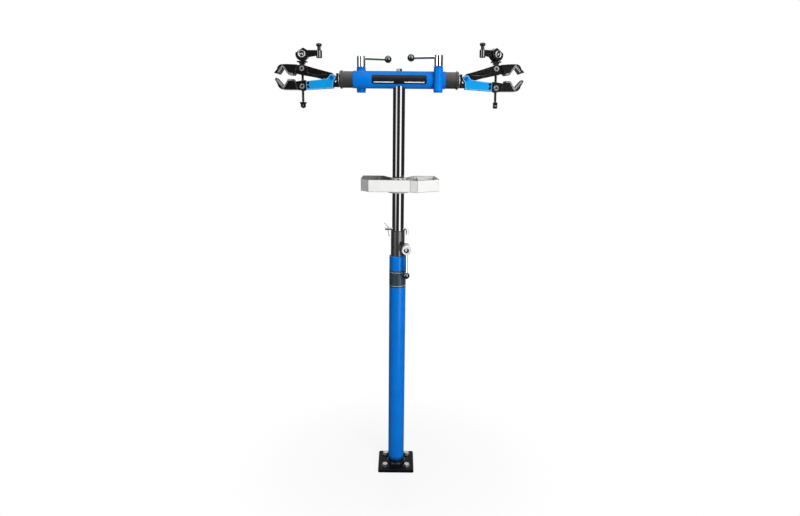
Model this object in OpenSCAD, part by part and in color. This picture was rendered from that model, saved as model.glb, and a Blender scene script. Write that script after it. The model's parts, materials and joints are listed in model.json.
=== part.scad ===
// Floor-mounted bicycle repair stand with two rotating clamps.
// Millimetres, +Z up, origin at the centre of the floor plate's underside, front towards -Y.

/* [Floor plate] */
// Side of the square floor plate
plate_side = 136; // [128:1:200]
// Thickness of the floor plate
plate_t = 12.7; // [8:0.1:20]
// Radius of the plate's corners
plate_corner_r = 6; // [3:0.5:12]
// Chamfer round the plate's top edge
plate_edge = 1.2; // [0.5:0.1:2.5]
// Spacing of the floor bolts, both ways
bolt_spacing = 82.5; // [78:0.5:96]
// Diameter of the floor bolts
bolt_d = 12.7; // [8:0.1:14]
// Step from the floor bolts' shank to their thread, on the diameter
thread_step = 0.7; // [0.4:0.1:1]
// Play of a floor bolt in its hole
bolt_play = 0.8; // [0.4:0.1:1.5]
// Width across flats of the bolt heads
bolt_head_af = 19; // [16:0.5:22]
// Height of the bolt heads
bolt_head_h = 8; // [5:0.5:12]
// Diameter of the flat washers
washer_d = 27; // [24:0.5:30]
// Thickness of the flat washers
washer_t = 2.5; // [1.5:0.1:4]
// Length of the bolts below the plate, in the floor
bolt_depth = 32; // [20:1:60]
// Diameter of the two small side holes
side_hole_d = 6; // [4:0.5:8]
// Distance of the side holes from the plate's edge
side_hole_inset = 14; // [10:0.5:18]

/* [Lower tube] */
// Outer diameter of the lower tube
lower_d = 60.3; // [58:0.1:66]
// Wall of the lower tube
lower_wall = 5; // [4:0.1:5.5]
// Height of the lower tube's top above the floor
lower_top = 839; // [780:1:900]
// Leg of the weld bead at the foot of the tube
weld_leg = 7; // [4:0.5:10]
// Chamfer at the top of the tube
tube_edge = 1; // [0.3:0.1:1.5]

/* [Height clamp] */
// Wall of the split sleeve
sleeve_wall = 2.4; // [2:0.1:3]
// Length of the sleeve above the lower tube
sleeve_show = 91; // [86:1:110]
// Length of the sleeve inside the lower tube
sleeve_seat = 79; // [50:1:110]
// Width of the slit between the ears
slit_w = 4; // [2:0.5:6]
// Thickness of one ear
ear_t = 10; // [8:0.5:14]
// Radius of the ears round the clamp bolt
ear_r = 13; // [10:0.5:15]
// Distance of the clamp bolt from the mast axis
ear_x = 31; // [30:0.5:36]
// Drop of the clamp bolt below the top of the sleeve
ear_drop = 61; // [52:1:66]
// Diameter of the clamp bolt
clamp_bolt_d = 10; // [8:0.5:12]
// Width across flats of the clamp bolt's head
clamp_head_af = 16; // [14:0.5:18]
// Height of the clamp bolt's head
clamp_head_h = 7; // [5:0.5:9]
// Diameter of the lever hub
hub_d = 33; // [28:0.5:36]
// Length of the lever hub with its neck
hub_len = 46; // [42:1:60]
// Diameter of the hub's neck, between the ear and the hub
hub_neck_d = 17; // [15:0.5:18]
// Diameter of the ring sunk in the hub's front face
hub_ring_d = 16; // [12:0.5:18]
// Depth of that ring
hub_ring = 3; // [1:0.5:4]
// Distance of the lever ball from the clamp bolt
height_lever_len = 94; // [70:1:120]
// Diameter of the button screw on the sleeve
button_d = 15; // [10:0.5:16]
// Drop of the button screw below the top of the sleeve
button_drop = 43; // [40:1:46]
// Turn of the button screw from the front towards the ears, degrees
button_turn = 31; // [20:1:36]
// Wall of the bush in the sleeve
liner_wall = 1.3; // [1:0.1:2]
// Thickness of the bush's flange
liner_flange_t = 1.2; // [0.8:0.1:3]

/* [Levers] */
// Diameter of the lever rods
rod_d = 10; // [8:0.5:11]
// Diameter of the lever balls
ball_d = 25; // [20:0.5:25]
// Distance of the lock balls from their barrels
lock_lever_len = 92; // [70:1:100]
// Fall of the lock levers from barrel to ball, degrees
lock_lever_fall = 1.6; // [0:0.1:5]

/* [Mast] */
// Outer diameter of the mast tube
mast_d = 42.2; // [41:0.1:43]
// Wall of the mast tube
mast_wall = 3; // [2:0.1:5]
// Upward travel of the mast
mast_rise = 76.2; // [20:0.1:120]
// Spare length between the guide ring and the sleeve at the top of the travel
rise_spare = 4; // [1:0.5:20]
// Height of the guide ring at the foot of the mast
foot_h = 30; // [15:1:60]
// Height of the cross tube's axis above the floor
head_z = 1450.5; // [1350:0.5:1550]
// Diameter of the safety pin
pin_d = 8.5; // [6:0.1:10]
// Reach of the pin to the left of the mast axis
pin_left = 46; // [42:0.5:52]
// Reach of the pin's bend to the right of the mast axis
pin_right = 33; // [32:0.5:40]
// Length of the pin's bent-down handle
pin_drop = 14; // [8:0.5:18]
// Radius of the pin's bend
pin_bend_r = 6; // [5.5:0.5:9]
// Pitch of the pin holes in the mast
pin_pitch = 50.8; // [40:0.1:60]
// Number of pin holes above and below the pin
pin_spare_holes = 2; // [0:1:2]
// Diameter of the clip's wire
clip_d = 2.4; // [1.5:0.1:2.8]
// Lean of the clip's leg above the pin, degrees
clip_slope = 46; // [30:1:55]
// Length of the clip's leg above the pin
clip_leg = 18; // [12:1:26]
// Length of the clip's straight tail below the pin
clip_tail = 12; // [6:0.5:14]
// Radius of the clip's bow
clip_bow_r = 12; // [8:0.5:13]
// Turn of the clip's bow, degrees
clip_bow = 50; // [30:1:52]

/* [Cross tube] */
// Outer diameter of the cross tube
head_d = 58; // [56:0.5:64]
// Wall of the cross tube
head_wall = 6; // [4.5:0.1:8]
// Half length of the cross tube
head_half = 156; // [150:1:176]
// Width across flats of the bolt on top
head_bolt_af = 17; // [14:0.5:20]
// Height of that bolt's head
head_bolt_h = 8; // [5:0.5:10]
// Diameter of that bolt
head_bolt_d = 12; // [8:0.5:14]
// Length of the plug in the top of the mast
plug_len = 50; // [45:1:80]

/* [Shaft locks] */
// Distance of the locks from the ends of the cross tube
lock_inset = 25; // [22:0.5:30]
// Distance of the locks from the cross tube's axis
lock_y = 30; // [29.5:0.1:32]
// Diameter of the lock lugs
lug_d = 31.75; // [30:0.05:34]
// Half height of the lock lugs
lug_half = 39; // [36:0.5:48]
// Rounding of the lugs' rims
lug_edge = 3; // [1:0.5:4]
// Diameter of the wedge plugs
wedge_d = 21.8; // [20:0.1:23]
// Thickness of the upper wedge's flange
wedge_top_t = 3; // [2:0.1:8]
// Thickness of the lower wedge's flange
wedge_foot_t = 2.5; // [1.5:0.1:5]
// Gap between the upper and the lower wedge
wedge_split = 8; // [4:0.5:16]
// Diameter of the lock studs
stud_d = 10; // [8:0.5:10]
// Diameter of the barrel nuts
barrel_d = 29; // [26:0.5:32]
// Height of the barrel nuts
barrel_h = 38; // [34:0.5:44]
// Chamfer at the ends of barrels and hubs
barrel_edge = 2; // [1:0.5:3]
// Drop of the lever rod below the top of its barrel
lock_rod_drop = 8; // [7.5:0.5:10]

/* [Tray] */
// Height of the tray's underside above the floor
tray_z = 1076; // [1062:1:1120]
// Height of the tray's walls
tray_h = 42; // [30:1:60]
// Thickness of the tray's walls
tray_wall = 2.5; // [2:0.1:4]
// Thickness of the tray's floor
tray_floor = 2.5; // [2:0.1:5]
// Reach of the tray to the left
tray_left = 131; // [120:1:150]
// Reach of the tray to the right
tray_right = 143; // [136:1:160]
// Reach of the tray to the front
tray_front = 85; // [84:1:110]
// Reach of the tray to the rear
tray_rear = 92; // [80:1:110]
// Half width of the notch in the rear wall
notch_half = 54; // [45:1:60]
// Distance of the tray's dividers from the mast axis
divider_x = 69; // [66:1:80]
// Wall of the collar under the tray
collar_wall = 5; // [4:0.1:8]
// Height by which the collar stands above the tray's hub
collar_show = 9; // [7:0.5:14]
// Wall of the tray's hub
tray_hub_wall = 3; // [2:0.1:5]
// Width of the collar's flange under the tray
collar_flange = 7; // [4:0.5:12]
// Thickness of the collar's flange
collar_flange_t = 7.5; // [4:0.5:10]
// Diameter of the collar's screws
collar_screw_d = 6; // [4:0.5:6.5]

/* [Clamp body] */
// Reach of the clamp shafts into the cross tube, from the mast axis
shaft_in = 40; // [30:1:80]
// Wall of the clamp shafts
shaft_wall = 6; // [4:0.5:10]
// Diameter of the thrust collars
thrust_d = 54.8; // [52:0.1:58]
// Length of the thrust collars
thrust_len = 43; // [38:0.5:45]
// Height of the thrust collar's lip
lip_h = 3; // [1:0.1:4]
// Width of the thrust collar's lip
lip_w = 6.5; // [3:0.5:10]
// Diameter of the bright washer behind the neck
neck_washer_d = 40; // [36:0.5:44]
// Thickness of the bright washer
neck_washer_t = 3.5; // [2:0.5:5]
// Width of the neck
neck_w = 40; // [36:0.5:44]
// Reach of the neck above the shaft axis
neck_up = 19; // [17:0.5:22]
// Reach of the neck below the shaft axis
neck_down = 25; // [22:0.5:26]
// Reach of the jaw pivot beyond the end of the cross tube
pivot_reach = 71; // [69:0.5:79]
// Height of the jaw pivot above the shaft axis
pivot_z = 4.5; // [3:0.5:6]
// Diameter of the jaw pivot
pivot_d = 10; // [8:0.5:12]
// Width of the channel arm
arm_w = 38; // [36:0.5:44]
// Plate thickness of the channel arm
arm_t = 3; // [2:0.1:4]
// Length of the channel arm from the pivot
arm_len = 87; // [84:0.5:94]
// Drop of the channel's underside below the shaft axis, at the pivot
arm_drop_in = 29.3; // [28:0.1:32]
// Drop of the channel's underside below the shaft axis, at its outer end
arm_drop_out = 35.3; // [33:0.1:38]
// Drop of the channel's rim below the shaft axis, at its outer end
arm_top_drop = 7.5; // [6:0.1:9]
// Diameter of the bolts that hold the lower jaw
jaw_bolt_d = 6; // [4:0.5:7]
// Play between the channel arm and what lies in it
arm_play = 0.3; // [0.2:0.05:0.5]

/* [Jaws] */
// Distance from the jaw pivot to each trunnion
link_r = 105.5; // [103:0.5:114]
// Angle of each jaw to the middle line when a clamp is at its left-hand rest
link_a = 16; // [15:0.1:17.5]
// How much wider the left clamp is open at rest, degrees
left_open = 0; // [0:0.1:8]
// How much wider the right clamp is open at rest, degrees
right_open = 2.4; // [0:0.1:8]
// Diameter of the trunnions
trunnion_d = 18; // [16:0.5:19]
// Overhang of a trunnion on each side of its jaw
trunnion_out = 3; // [2:0.5:6]
// Radius of the jaw's boss round a trunnion
boss_r = 14.5; // [13:0.5:15.5]
// Width of the jaw heads
jaw_w = 54; // [44:1:60]
// Width of the slot for the screw
jaw_slot_w = 14; // [12:0.5:16]
// Thickness of the V pads
pad_t = 4; // [2:0.5:5]
// Distance of the V from the screw
grip_x = 61.5; // [58:0.5:68]
// Depth of the recess in the sides of the jaws
recess_t = 2; // [1:0.5:3]

/* [Screw and cam] */
// Diameter of the clamp screw
screw_d = 9; // [8:0.1:10]
// Reach of the screw below the lower trunnion
screw_down = 51; // [48:0.5:66]
// Depth of the screw in the stop tab
tab_grip = 9; // [6:0.5:12]
// Width of the stop tab at its top
tab_w = 23.5; // [20:0.5:28]
// Radius of the stop tab's round end
tab_end_r = 8.5; // [7.5:0.5:9.5]
// Thickness of the stop tab
tab_t = 13.5; // [12:0.5:18]
// Turn of the left stop tab on its screw, degrees
left_tab_turn = 0; // [0:5:180]
// Turn of the right stop tab on its screw, degrees
right_tab_turn = 90; // [0:5:180]
// Height of the screw above the lever pin
screw_over = 3; // [2:0.5:4]
// Height of the saddle
saddle_h = 10; // [8:0.5:14]
// Thickness of the saddle's wings
wing_t = 4; // [3:0.5:6]
// Span of the saddle's wings
wing_span = 33; // [26:0.5:40]
// Radius of the cam hub
cam_r = 21; // [18:0.5:23]
// Width of the cam hub
cam_w = 24; // [20:0.5:30]
// Diameter of the lever pin
lever_pin_d = 5; // [4:0.5:6]
// Distance of the knob from the screw
crank_len = 57.5; // [50:0.5:70]
// Width of the crank's arm
crank_w = 14; // [12:0.5:18]
// Turn of the left crank from straight inward, degrees
left_crank_turn = 0; // [0:5:45]
// Turn of the right crank from straight inward, degrees
right_crank_turn = 30; // [0:5:45]
// Diameter of the knob's head
knob_d = 20; // [16:0.5:26]
// Diameter of the knob's stem
knob_stem_d = 11.7; // [10.5:0.1:14]
// Height of the knob
knob_h = 21.5; // [18:0.5:30]
// Diameter of the knob's spindle
spindle_d = 6; // [4:0.5:7]

/* [Fits] */
// Running clearance of shafts, pins and sliding tubes, on the radius
run_gap = 0.08; // [0.02:0.01:0.1]
// Clearance of pieces fixed in a bore, on the radius
seat_gap = 0.05; // [0.02:0.01:0.1]
// Clearance between faces that pass each other
face_gap = 0.3; // [0.2:0.05:0.5]

/* [Hidden] */
$fn = 64;
// Overshoot of a cut past the face that it opens
cut = 1;
// Swelling of a bent wire where a bend starts and ends
bend_swell = 1.03;
left = -1;
right = 1;

// Column
lower_r = lower_d / 2;
lower_bore_r = lower_r - lower_wall;
washer_top = plate_t + washer_t;
sleeve_top = lower_top + sleeve_show;
sleeve_foot = lower_top - sleeve_seat;
mast_r = mast_d / 2;
liner_r = mast_r + run_gap + liner_wall;
sleeve_bore_r = liner_r + run_gap;
sleeve_r = sleeve_bore_r + sleeve_wall;
// The sleeve is turned down below the lower tube's rim to seat in its bore
sleeve_seat_r = min(sleeve_r, lower_bore_r - seat_gap);
ear_half = slit_w / 2 + ear_t;
ear_z = sleeve_top - ear_drop;
hub_y = -(ear_half + face_gap);
hub_front = hub_y - hub_len;
// The hub widens only where it is clear of the sleeve
hub_side = ear_x - hub_d / 2;
sleeve_front = sqrt(max(0, sleeve_r * sleeve_r - hub_side * hub_side));
hub_wide_y = min(hub_y, -sleeve_front - face_gap);
clamp_bolt_end = hub_front + hub_ring + 3;
height_lever_y = hub_front + rod_d / 2 + 7;
rod_root = clamp_bolt_d / 2 + 3;

// Mast
liner_flange_z = sleeve_top + face_gap;
liner_flange_r = sleeve_r - 0.5;
pin_z = liner_flange_z + liner_flange_t + face_gap + pin_d / 2;
mast_foot_z = sleeve_foot - mast_rise - rise_spare - foot_h;
mast_bore_r = mast_r - mast_wall;
head_r = head_d / 2;
head_bore_r = head_r - head_wall;
clip_x = -(mast_r + pin_left) / 2 - 1;

// Shaft locks
lock_x = head_half - lock_inset;
barrel_z = lug_half + wedge_top_t + face_gap;
lock_rod_z = barrel_z + barrel_h - lock_rod_drop;
stud_top = barrel_z + barrel_h - 4;

// Tray
collar_r = mast_r + run_gap + collar_wall;
tray_hub_r = collar_r + run_gap + tray_hub_wall;
tray_top = tray_z + tray_h;
collar_top = tray_top + 1.5;
tray_hub_top = collar_top - collar_show;
collar_foot = tray_z - face_gap - collar_flange_t;

// Clamp
shaft_r = head_bore_r - run_gap;
thrust_x = head_half + face_gap;
lip_x = thrust_x + thrust_len;
washer_x = lip_x + 3.5;
neck_x = washer_x + neck_washer_t;
pivot_x = head_half + pivot_reach;
pivot = [pivot_x, pivot_z];
root_r = pivot_d / 2 + 7.5;
// Reach of the arm's heel behind the jaw pivot
arm_heel = 4;
lower_t = pivot + link_r * [cos(link_a), -sin(link_a)];
upper_t = pivot + link_r * [cos(link_a), sin(link_a)];
inner_w = arm_w - 2 * arm_t;
jaw_arm_w = inner_w - 2 * arm_play;
trunnion_len = jaw_arm_w + 2 * trunnion_out;
arm_end = pivot_x + arm_len;
// Height of the saddle's underside over the lower trunnion, at a clamp that is open wider by a
function saddle_foot(open) = 2 * link_r * sin(link_a + open / 2) + boss_r + face_gap;
function cam_z(open) = saddle_foot(open) + saddle_h + face_gap + cam_r;
// Height of the screw's end over the lower trunnion: both screws have the same length
function screw_foot(open) = saddle_foot(open) - saddle_foot(0) - screw_down;
// Angles at which rounds start and end: the arm's ear, the stop tab and the cam
ear_round = [200, 60];
tab_round = [20, -200];
cam_round = [168, 320];
// Drop of the round end's middle below the top of the stop tab
tab_drop = 12;
// Highest point of the cam, over the root of its arm
cam_peak = 1.05 * cam_r * [cos(76), sin(76)];
// Reach of the screw's upper corner from the lever pin
screw_corner = norm([lever_pin_d / 2 + screw_over, screw_d / 2]);
crank_up = 15;
crank_down = 11;
knob_z = crank_up + face_gap;

// Outlines
function arc(c, r, a0, a1, n = 8) =
    [for (i = [0 : n]) c + r * [cos(a0 + (a1 - a0) * i / n), sin(a0 + (a1 - a0) * i / n)]];
function rounded_rect(w, h, r) = concat(
    arc([w / 2 - r, h / 2 - r], r, 0, 90),
    arc([r - w / 2, h / 2 - r], r, 90, 180),
    arc([r - w / 2, r - h / 2], r, 180, 270),
    arc([w / 2 - r, r - h / 2], r, 270, 360)
);
function reversed(p) = [for (i = [len(p) - 1 : -1 : 0]) p[i]];
function unit(v) = v / norm(v);
function left_of(v) = [-v.y, v.x];
// Offset of a corner between two directions, to the left of the path
function mitre(d0, d1, t) = (left_of(d0) + left_of(d1)) * t / (1 + d0 * d1);
// An open path moved by t to its left, with mitred corners
function beside(p, t) = [
    for (i = [0 : len(p) - 1])
        let (d0 = unit(i == 0 ? p[1] - p[0] : p[i] - p[i - 1]))
        let (d1 = unit(i == len(p) - 1 ? p[i] - p[i - 1] : p[i + 1] - p[i]))
        p[i] + mitre(d0, d1, t)
];
// A closed outline moved by t to its left
function inset(p, t) = [
    for (i = [0 : len(p) - 1])
        let (n = len(p))
        let (d0 = unit(p[i] - p[(i + n - 1) % n]))
        let (d1 = unit(p[(i + 1) % n] - p[i]))
        p[i] + mitre(d0, d1, t)
];

// Tray outline, anticlockwise from the front left
tray_outline = [
    [-tray_left, 59 - tray_front],
    [-tray_left + 28, 19 - tray_front],
    [41, 15 - tray_front],
    [66, -tray_front],
    [tray_right, 55 - tray_front],
    [tray_right - 10, tray_rear],
    [notch_half, tray_rear],
    [tray_hub_r, tray_hub_r + 4],
    [-tray_hub_r, tray_hub_r + 4],
    [-notch_half, tray_rear],
    [-tray_left, tray_rear]
];

// Faces of the V pads, as paths from the tip of a jaw inward, from the jaw's trunnion
lower_grip = [
    [grip_x + 24, 27],
    [grip_x, 0],
    [grip_x - 15, 23.5],
    [grip_x - 33, 23.5]
];
upper_grip = [
    [grip_x + 17, -19.5],
    [grip_x + 1, 2],
    [grip_x - 16, -20.5],
    [grip_x - 35, -22.5]
];

// Placing
module along_x() { rotate([0, 90, 0]) children(); }
module along_y() { rotate([-90, 0, 0]) children(); }
module to_front() { rotate([90, 0, 0]) children(); }
// An outline in X and Z, extruded to a width along Y about the middle plane
module slab(outline, w) { to_front() linear_extrude(w, center = true) polygon(outline); }
module at_floor_bolts() {
    for (sx = [-1, 1], sy = [-1, 1]) translate([sx, sy, 0] * bolt_spacing / 2) children();
}
// The clamps are mirror images of each other, X outward from the mast
module on_side(side) {
    translate([0, 0, head_z]) mirror([side < 0 ? 1 : 0, 0, 0]) children();
}
// The locks are turned half round from each other
module on_lock(side) {
    translate([0, 0, head_z]) rotate(side < 0 ? 180 : 0) translate([lock_x, -lock_y, 0]) children();
}
// What turns with the upper jaw
module with_jaw(open) {
    translate([pivot.x, 0, pivot.y]) rotate([0, -open, 0]) translate([-pivot.x, 0, -pivot.y]) children();
}
// What follows the screw's axis, from the lower trunnion up
module on_screw(open) {
    translate([lower_t.x, 0, lower_t.y]) rotate([0, -open / 2, 0]) children();
}
// What turns with the crank, X along its arm
module on_crank(open, turn) {
    on_screw(open) rotate(180 + turn) translate([0, 0, cam_z(open)]) children();
}

// Common shapes
module hex_prism(af, h) { cylinder(d = af / cos(30), h = h, $fn = 6); }
module ring(r_out, r_in, z0, z1) {
    translate([0, 0, z0]) difference() {
        cylinder(r = r_out, h = z1 - z0);
        translate([0, 0, -cut]) cylinder(r = r_in, h = z1 - z0 + 2 * cut);
    }
}
// A turned bar with chamfered ends
module turned_bar(r, h, edge) {
    rotate_extrude() polygon([
        [0, 0], [r - edge, 0], [r, edge], [r, h - edge], [r - edge, h], [0, h]
    ]);
}
// A round wire along +Z: runs of [length, turn towards +X in degrees, radius of the turn]
module wire(d, runs, i = 0) {
    if (i < len(runs)) {
        run = runs[i][0];
        turn = runs[i][1];
        r = runs[i][2];
        flip = turn < 0 ? 180 : 0;
        cylinder(d = d, h = run);
        if (i > 0) sphere(d = d * bend_swell);
        if (turn != 0) {
            translate([0, 0, run]) sphere(d = d * bend_swell);
            translate([0, 0, run]) rotate(flip) translate([r, 0, 0]) rotate([-90, 0, 0]) rotate(180)
                rotate_extrude(angle = abs(turn)) translate([r, 0]) circle(d = d);
        }
        translate([sign(turn) * r * (1 - cos(turn)), 0, run + r * abs(sin(turn))])
            rotate([0, turn, 0]) wire(d, runs, i + 1);
    }
}
// A lever rod and its ball, along +Z from the axis that it turns about
module lever_rod(len) { translate([0, 0, rod_root]) cylinder(d = rod_d, h = len - rod_root - 2); }
module lever_ball(len) {
    difference() {
        translate([0, 0, len]) sphere(d = ball_d);
        translate([0, 0, len - ball_d]) cylinder(r = rod_d / 2 + seat_gap, h = ball_d - 2 + seat_gap);
    }
}
module rod_socket(len) {
    translate([0, 0, rod_root - seat_gap]) cylinder(r = rod_d / 2 + seat_gap, h = len);
}

// Column
module base_plate() {
    top_side = plate_side - 2 * plate_edge;
    color("#1d1d1f") difference() {
        hull() {
            linear_extrude(plate_t - plate_edge)
                polygon(rounded_rect(plate_side, plate_side, plate_corner_r));
            linear_extrude(plate_t)
                polygon(rounded_rect(top_side, top_side, plate_corner_r - plate_edge));
        }
        at_floor_bolts() translate([0, 0, -cut]) cylinder(d = bolt_d + bolt_play, h = plate_t + 2 * cut);
        for (s = [-1, 1]) translate([s * (plate_side / 2 - side_hole_inset), 0, -cut])
            cylinder(d = side_hole_d, h = plate_t + 2 * cut);
    }
}

module floor_bolts() {
    color("silver") at_floor_bolts() {
        cylinder(d = bolt_d, h = washer_top + cut);
        translate([0, 0, -bolt_depth]) cylinder(d = bolt_d - thread_step, h = bolt_depth + cut);
        translate([0, 0, washer_top]) hex_prism(bolt_head_af, bolt_head_h);
    }
}

module floor_washers() {
    color("silver") at_floor_bolts() ring(washer_d / 2, (bolt_d + bolt_play) / 2, plate_t, washer_top);
}

module lower_tube() {
    color("#0a5fc4") rotate_extrude() polygon([
        [lower_bore_r, plate_t],
        [lower_r + weld_leg, plate_t],
        [lower_r + weld_leg * 0.35, plate_t + weld_leg * 0.35],
        [lower_r, plate_t + weld_leg],
        [lower_r, lower_top - tube_edge],
        [lower_r - tube_edge, lower_top],
        [lower_bore_r, lower_top]
    ]);
}

module clamp_sleeve() {
    ear = concat([[0, ear_r + ear_z]], [[0, ear_z - ear_r]], arc([ear_x, ear_z], ear_r, -90, 90));
    slit_foot = lower_top + tube_edge + 4;
    color("#4a4a4c") difference() {
        union() {
            translate([0, 0, sleeve_foot]) cylinder(r = sleeve_seat_r, h = sleeve_seat + cut);
            translate([0, 0, lower_top]) cylinder(r = sleeve_r, h = sleeve_show);
            slab(ear, 2 * ear_half);
        }
        translate([0, 0, sleeve_foot - cut])
            cylinder(r = sleeve_bore_r, h = sleeve_top - sleeve_foot + 2 * cut);
        translate([0, -slit_w / 2, slit_foot])
            cube([ear_x + 2 * ear_r, slit_w, sleeve_top - slit_foot + cut]);
        translate([ear_x, -ear_half - cut, ear_z]) along_y()
            cylinder(r = clamp_bolt_d / 2 + face_gap, h = 2 * (ear_half + cut));
    }
}

module sleeve_bolts() {
    color("#2a2a2c") {
        translate([ear_x, ear_half, ear_z]) to_front()
            cylinder(d = clamp_bolt_d, h = ear_half - clamp_bolt_end);
        translate([ear_x, ear_half, ear_z]) along_y() hex_prism(clamp_head_af, clamp_head_h);
        rotate(button_turn) translate([0, -sleeve_r - face_gap, sleeve_top - button_drop]) to_front()
            turned_bar(button_d / 2, 7, 1.5);
    }
}

module height_hub() {
    color("gainsboro") difference() {
        union() {
            translate([ear_x, hub_wide_y, ear_z]) to_front()
                turned_bar(hub_d / 2, hub_wide_y - hub_front, barrel_edge);
            translate([ear_x, hub_y, ear_z]) to_front()
                cylinder(d = hub_neck_d, h = hub_y - hub_wide_y + barrel_edge);
        }
        translate([ear_x, hub_y + cut, ear_z]) to_front()
            cylinder(r = clamp_bolt_d / 2 + run_gap, h = hub_y - clamp_bolt_end + 2 * cut);
        translate([ear_x, hub_front - cut, ear_z]) along_y() cylinder(d = hub_ring_d, h = hub_ring + cut);
        height_lever_place() rod_socket(hub_d);
    }
}
module height_lever_place() {
    translate([ear_x, height_lever_y, ear_z]) rotate([180, 0, 0]) children();
}
module height_rod() { color("gainsboro") height_lever_place() lever_rod(height_lever_len); }
module height_ball() { color("#151515") height_lever_place() lever_ball(height_lever_len); }

module sleeve_liner() {
    color("#303032") {
        ring(liner_r, mast_r + run_gap, sleeve_foot + 5, liner_flange_z + cut / 2);
        ring(liner_flange_r, mast_r + run_gap, liner_flange_z, liner_flange_z + liner_flange_t);
    }
}

// Mast
module upper_tube() {
    color("#0c0c0e") difference() {
        translate([0, 0, mast_foot_z]) cylinder(r = mast_r, h = head_z - mast_foot_z);
        translate([0, 0, mast_foot_z - cut]) cylinder(r = mast_bore_r, h = head_z - mast_foot_z + 2 * cut);
        translate([-head_half, 0, head_z]) along_x() cylinder(r = head_r + seat_gap, h = 2 * head_half);
        for (i = [-pin_spare_holes : pin_spare_holes])
            translate([-mast_d, 0, pin_z + i * pin_pitch]) along_x()
                cylinder(r = pin_d / 2 + seat_gap, h = 2 * mast_d);
    }
}

module mast_foot() {
    color("#303032") ring(lower_bore_r - run_gap, mast_r + seat_gap, mast_foot_z, mast_foot_z + foot_h);
}

module height_pin() {
    color("silver") difference() {
        translate([-pin_left, 0, pin_z]) along_x()
            wire(pin_d, [[pin_left + pin_right - pin_bend_r, 90, pin_bend_r], [pin_drop, 0, 0]]);
        translate([clip_x, 0, pin_z]) cylinder(r = clip_d / 2 + seat_gap, h = 3 * pin_d, center = true);
    }
}

module pin_clip() {
    foot_x = clip_x + clip_bow_r * (1 - cos(clip_bow)) + clip_d * sin(clip_bow);
    foot_z = pin_z - pin_d / 2 - clip_tail - clip_bow_r * sin(clip_bow) - clip_d * cos(clip_bow);
    color("silver") translate([foot_x, 0, foot_z]) rotate([0, -clip_bow, 0]) wire(clip_d, [
        [clip_d, clip_bow, clip_bow_r],
        [clip_tail + pin_d + clip_d / 2, -clip_slope, 2 * clip_d],
        [clip_leg, 0, 0]
    ]);
}

module mast_plug() {
    top = head_z - head_r - face_gap;
    color("#8a8a8c") difference() {
        translate([0, 0, top - plug_len]) cylinder(r = mast_bore_r - seat_gap, h = plug_len);
        translate([0, 0, top - plug_len - cut])
            cylinder(r = head_bolt_d / 2 + seat_gap, h = plug_len + 2 * cut);
    }
}

module lug() {
    translate([0, 0, -lug_half]) turned_bar(lug_d / 2, 2 * lug_half, lug_edge);
}

module head_tube() {
    bolt_hole_r = head_bolt_d / 2 + face_gap;
    color("#0a63d6") difference() {
        union() {
            translate([-head_half, 0, head_z]) along_x() cylinder(r = head_r, h = 2 * head_half);
            for (side = [left, right]) on_lock(side) lug();
        }
        translate([-head_half - cut, 0, head_z]) along_x()
            cylinder(r = head_bore_r, h = 2 * (head_half + cut));
        for (side = [left, right]) on_lock(side) translate([0, 0, -lug_half - cut])
            cylinder(r = wedge_d / 2 + seat_gap, h = 2 * (lug_half + cut));
        translate([0, 0, head_z - head_d]) cylinder(r = bolt_hole_r, h = 2 * head_d);
    }
}

module head_bolt() {
    shank = head_d + plug_len - 5;
    color("silver") translate([0, 0, head_z + head_r]) {
        translate([0, 0, -shank]) cylinder(d = head_bolt_d, h = shank + cut);
        hex_prism(head_bolt_af, head_bolt_h);
    }
}

// Each wedge is a plug with a flange, hollowed to fit the round shaft
module lock_wedges() {
    color("#0a4fae") for (side = [left, right]) on_lock(side) difference() {
        union() {
            translate([0, 0, wedge_split / 2]) cylinder(d = wedge_d, h = lug_half - wedge_split / 2 + cut);
            translate([0, 0, lug_half]) cylinder(d = lug_d, h = wedge_top_t);
            translate([0, 0, -lug_half - cut]) cylinder(d = wedge_d, h = lug_half - wedge_split / 2 + cut);
            translate([0, 0, -lug_half - wedge_foot_t]) cylinder(d = lug_d, h = wedge_foot_t);
        }
        translate([-lug_d, lock_y, 0]) along_x() cylinder(r = shaft_r + face_gap, h = 2 * lug_d);
        translate([0, 0, -2 * lug_half]) cylinder(r = stud_d / 2 + seat_gap, h = 4 * lug_half);
    }
}

module lock_studs() {
    foot = -lug_half - wedge_foot_t;
    color("silver") for (side = [left, right]) on_lock(side) translate([0, 0, foot])
        cylinder(d = stud_d, h = stud_top - foot);
}

// Shaft locks, levers pointing to the mast
module lock_lever_place() {
    translate([0, 0, lock_rod_z]) rotate([0, -90 - lock_lever_fall, 0]) children();
}
module lock_barrel() {
    color("gainsboro") difference() {
        translate([0, 0, barrel_z]) turned_bar(barrel_d / 2, barrel_h, barrel_edge);
        translate([0, 0, barrel_z - cut])
            cylinder(r = stud_d / 2 + run_gap, h = stud_top - barrel_z + 1.5 * cut);
        lock_lever_place() rod_socket(barrel_d);
    }
}
module lock_rod() { color("gainsboro") lock_lever_place() lever_rod(lock_lever_len); }
module lock_ball() { color("#151515") lock_lever_place() lever_ball(lock_lever_len); }
module left_lock_barrel() { on_lock(left) lock_barrel(); }
module left_lock_rod() { on_lock(left) lock_rod(); }
module left_lock_ball() { on_lock(left) lock_ball(); }
module right_lock_barrel() { on_lock(right) lock_barrel(); }
module right_lock_rod() { on_lock(right) lock_rod(); }
module right_lock_ball() { on_lock(right) lock_ball(); }

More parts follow.
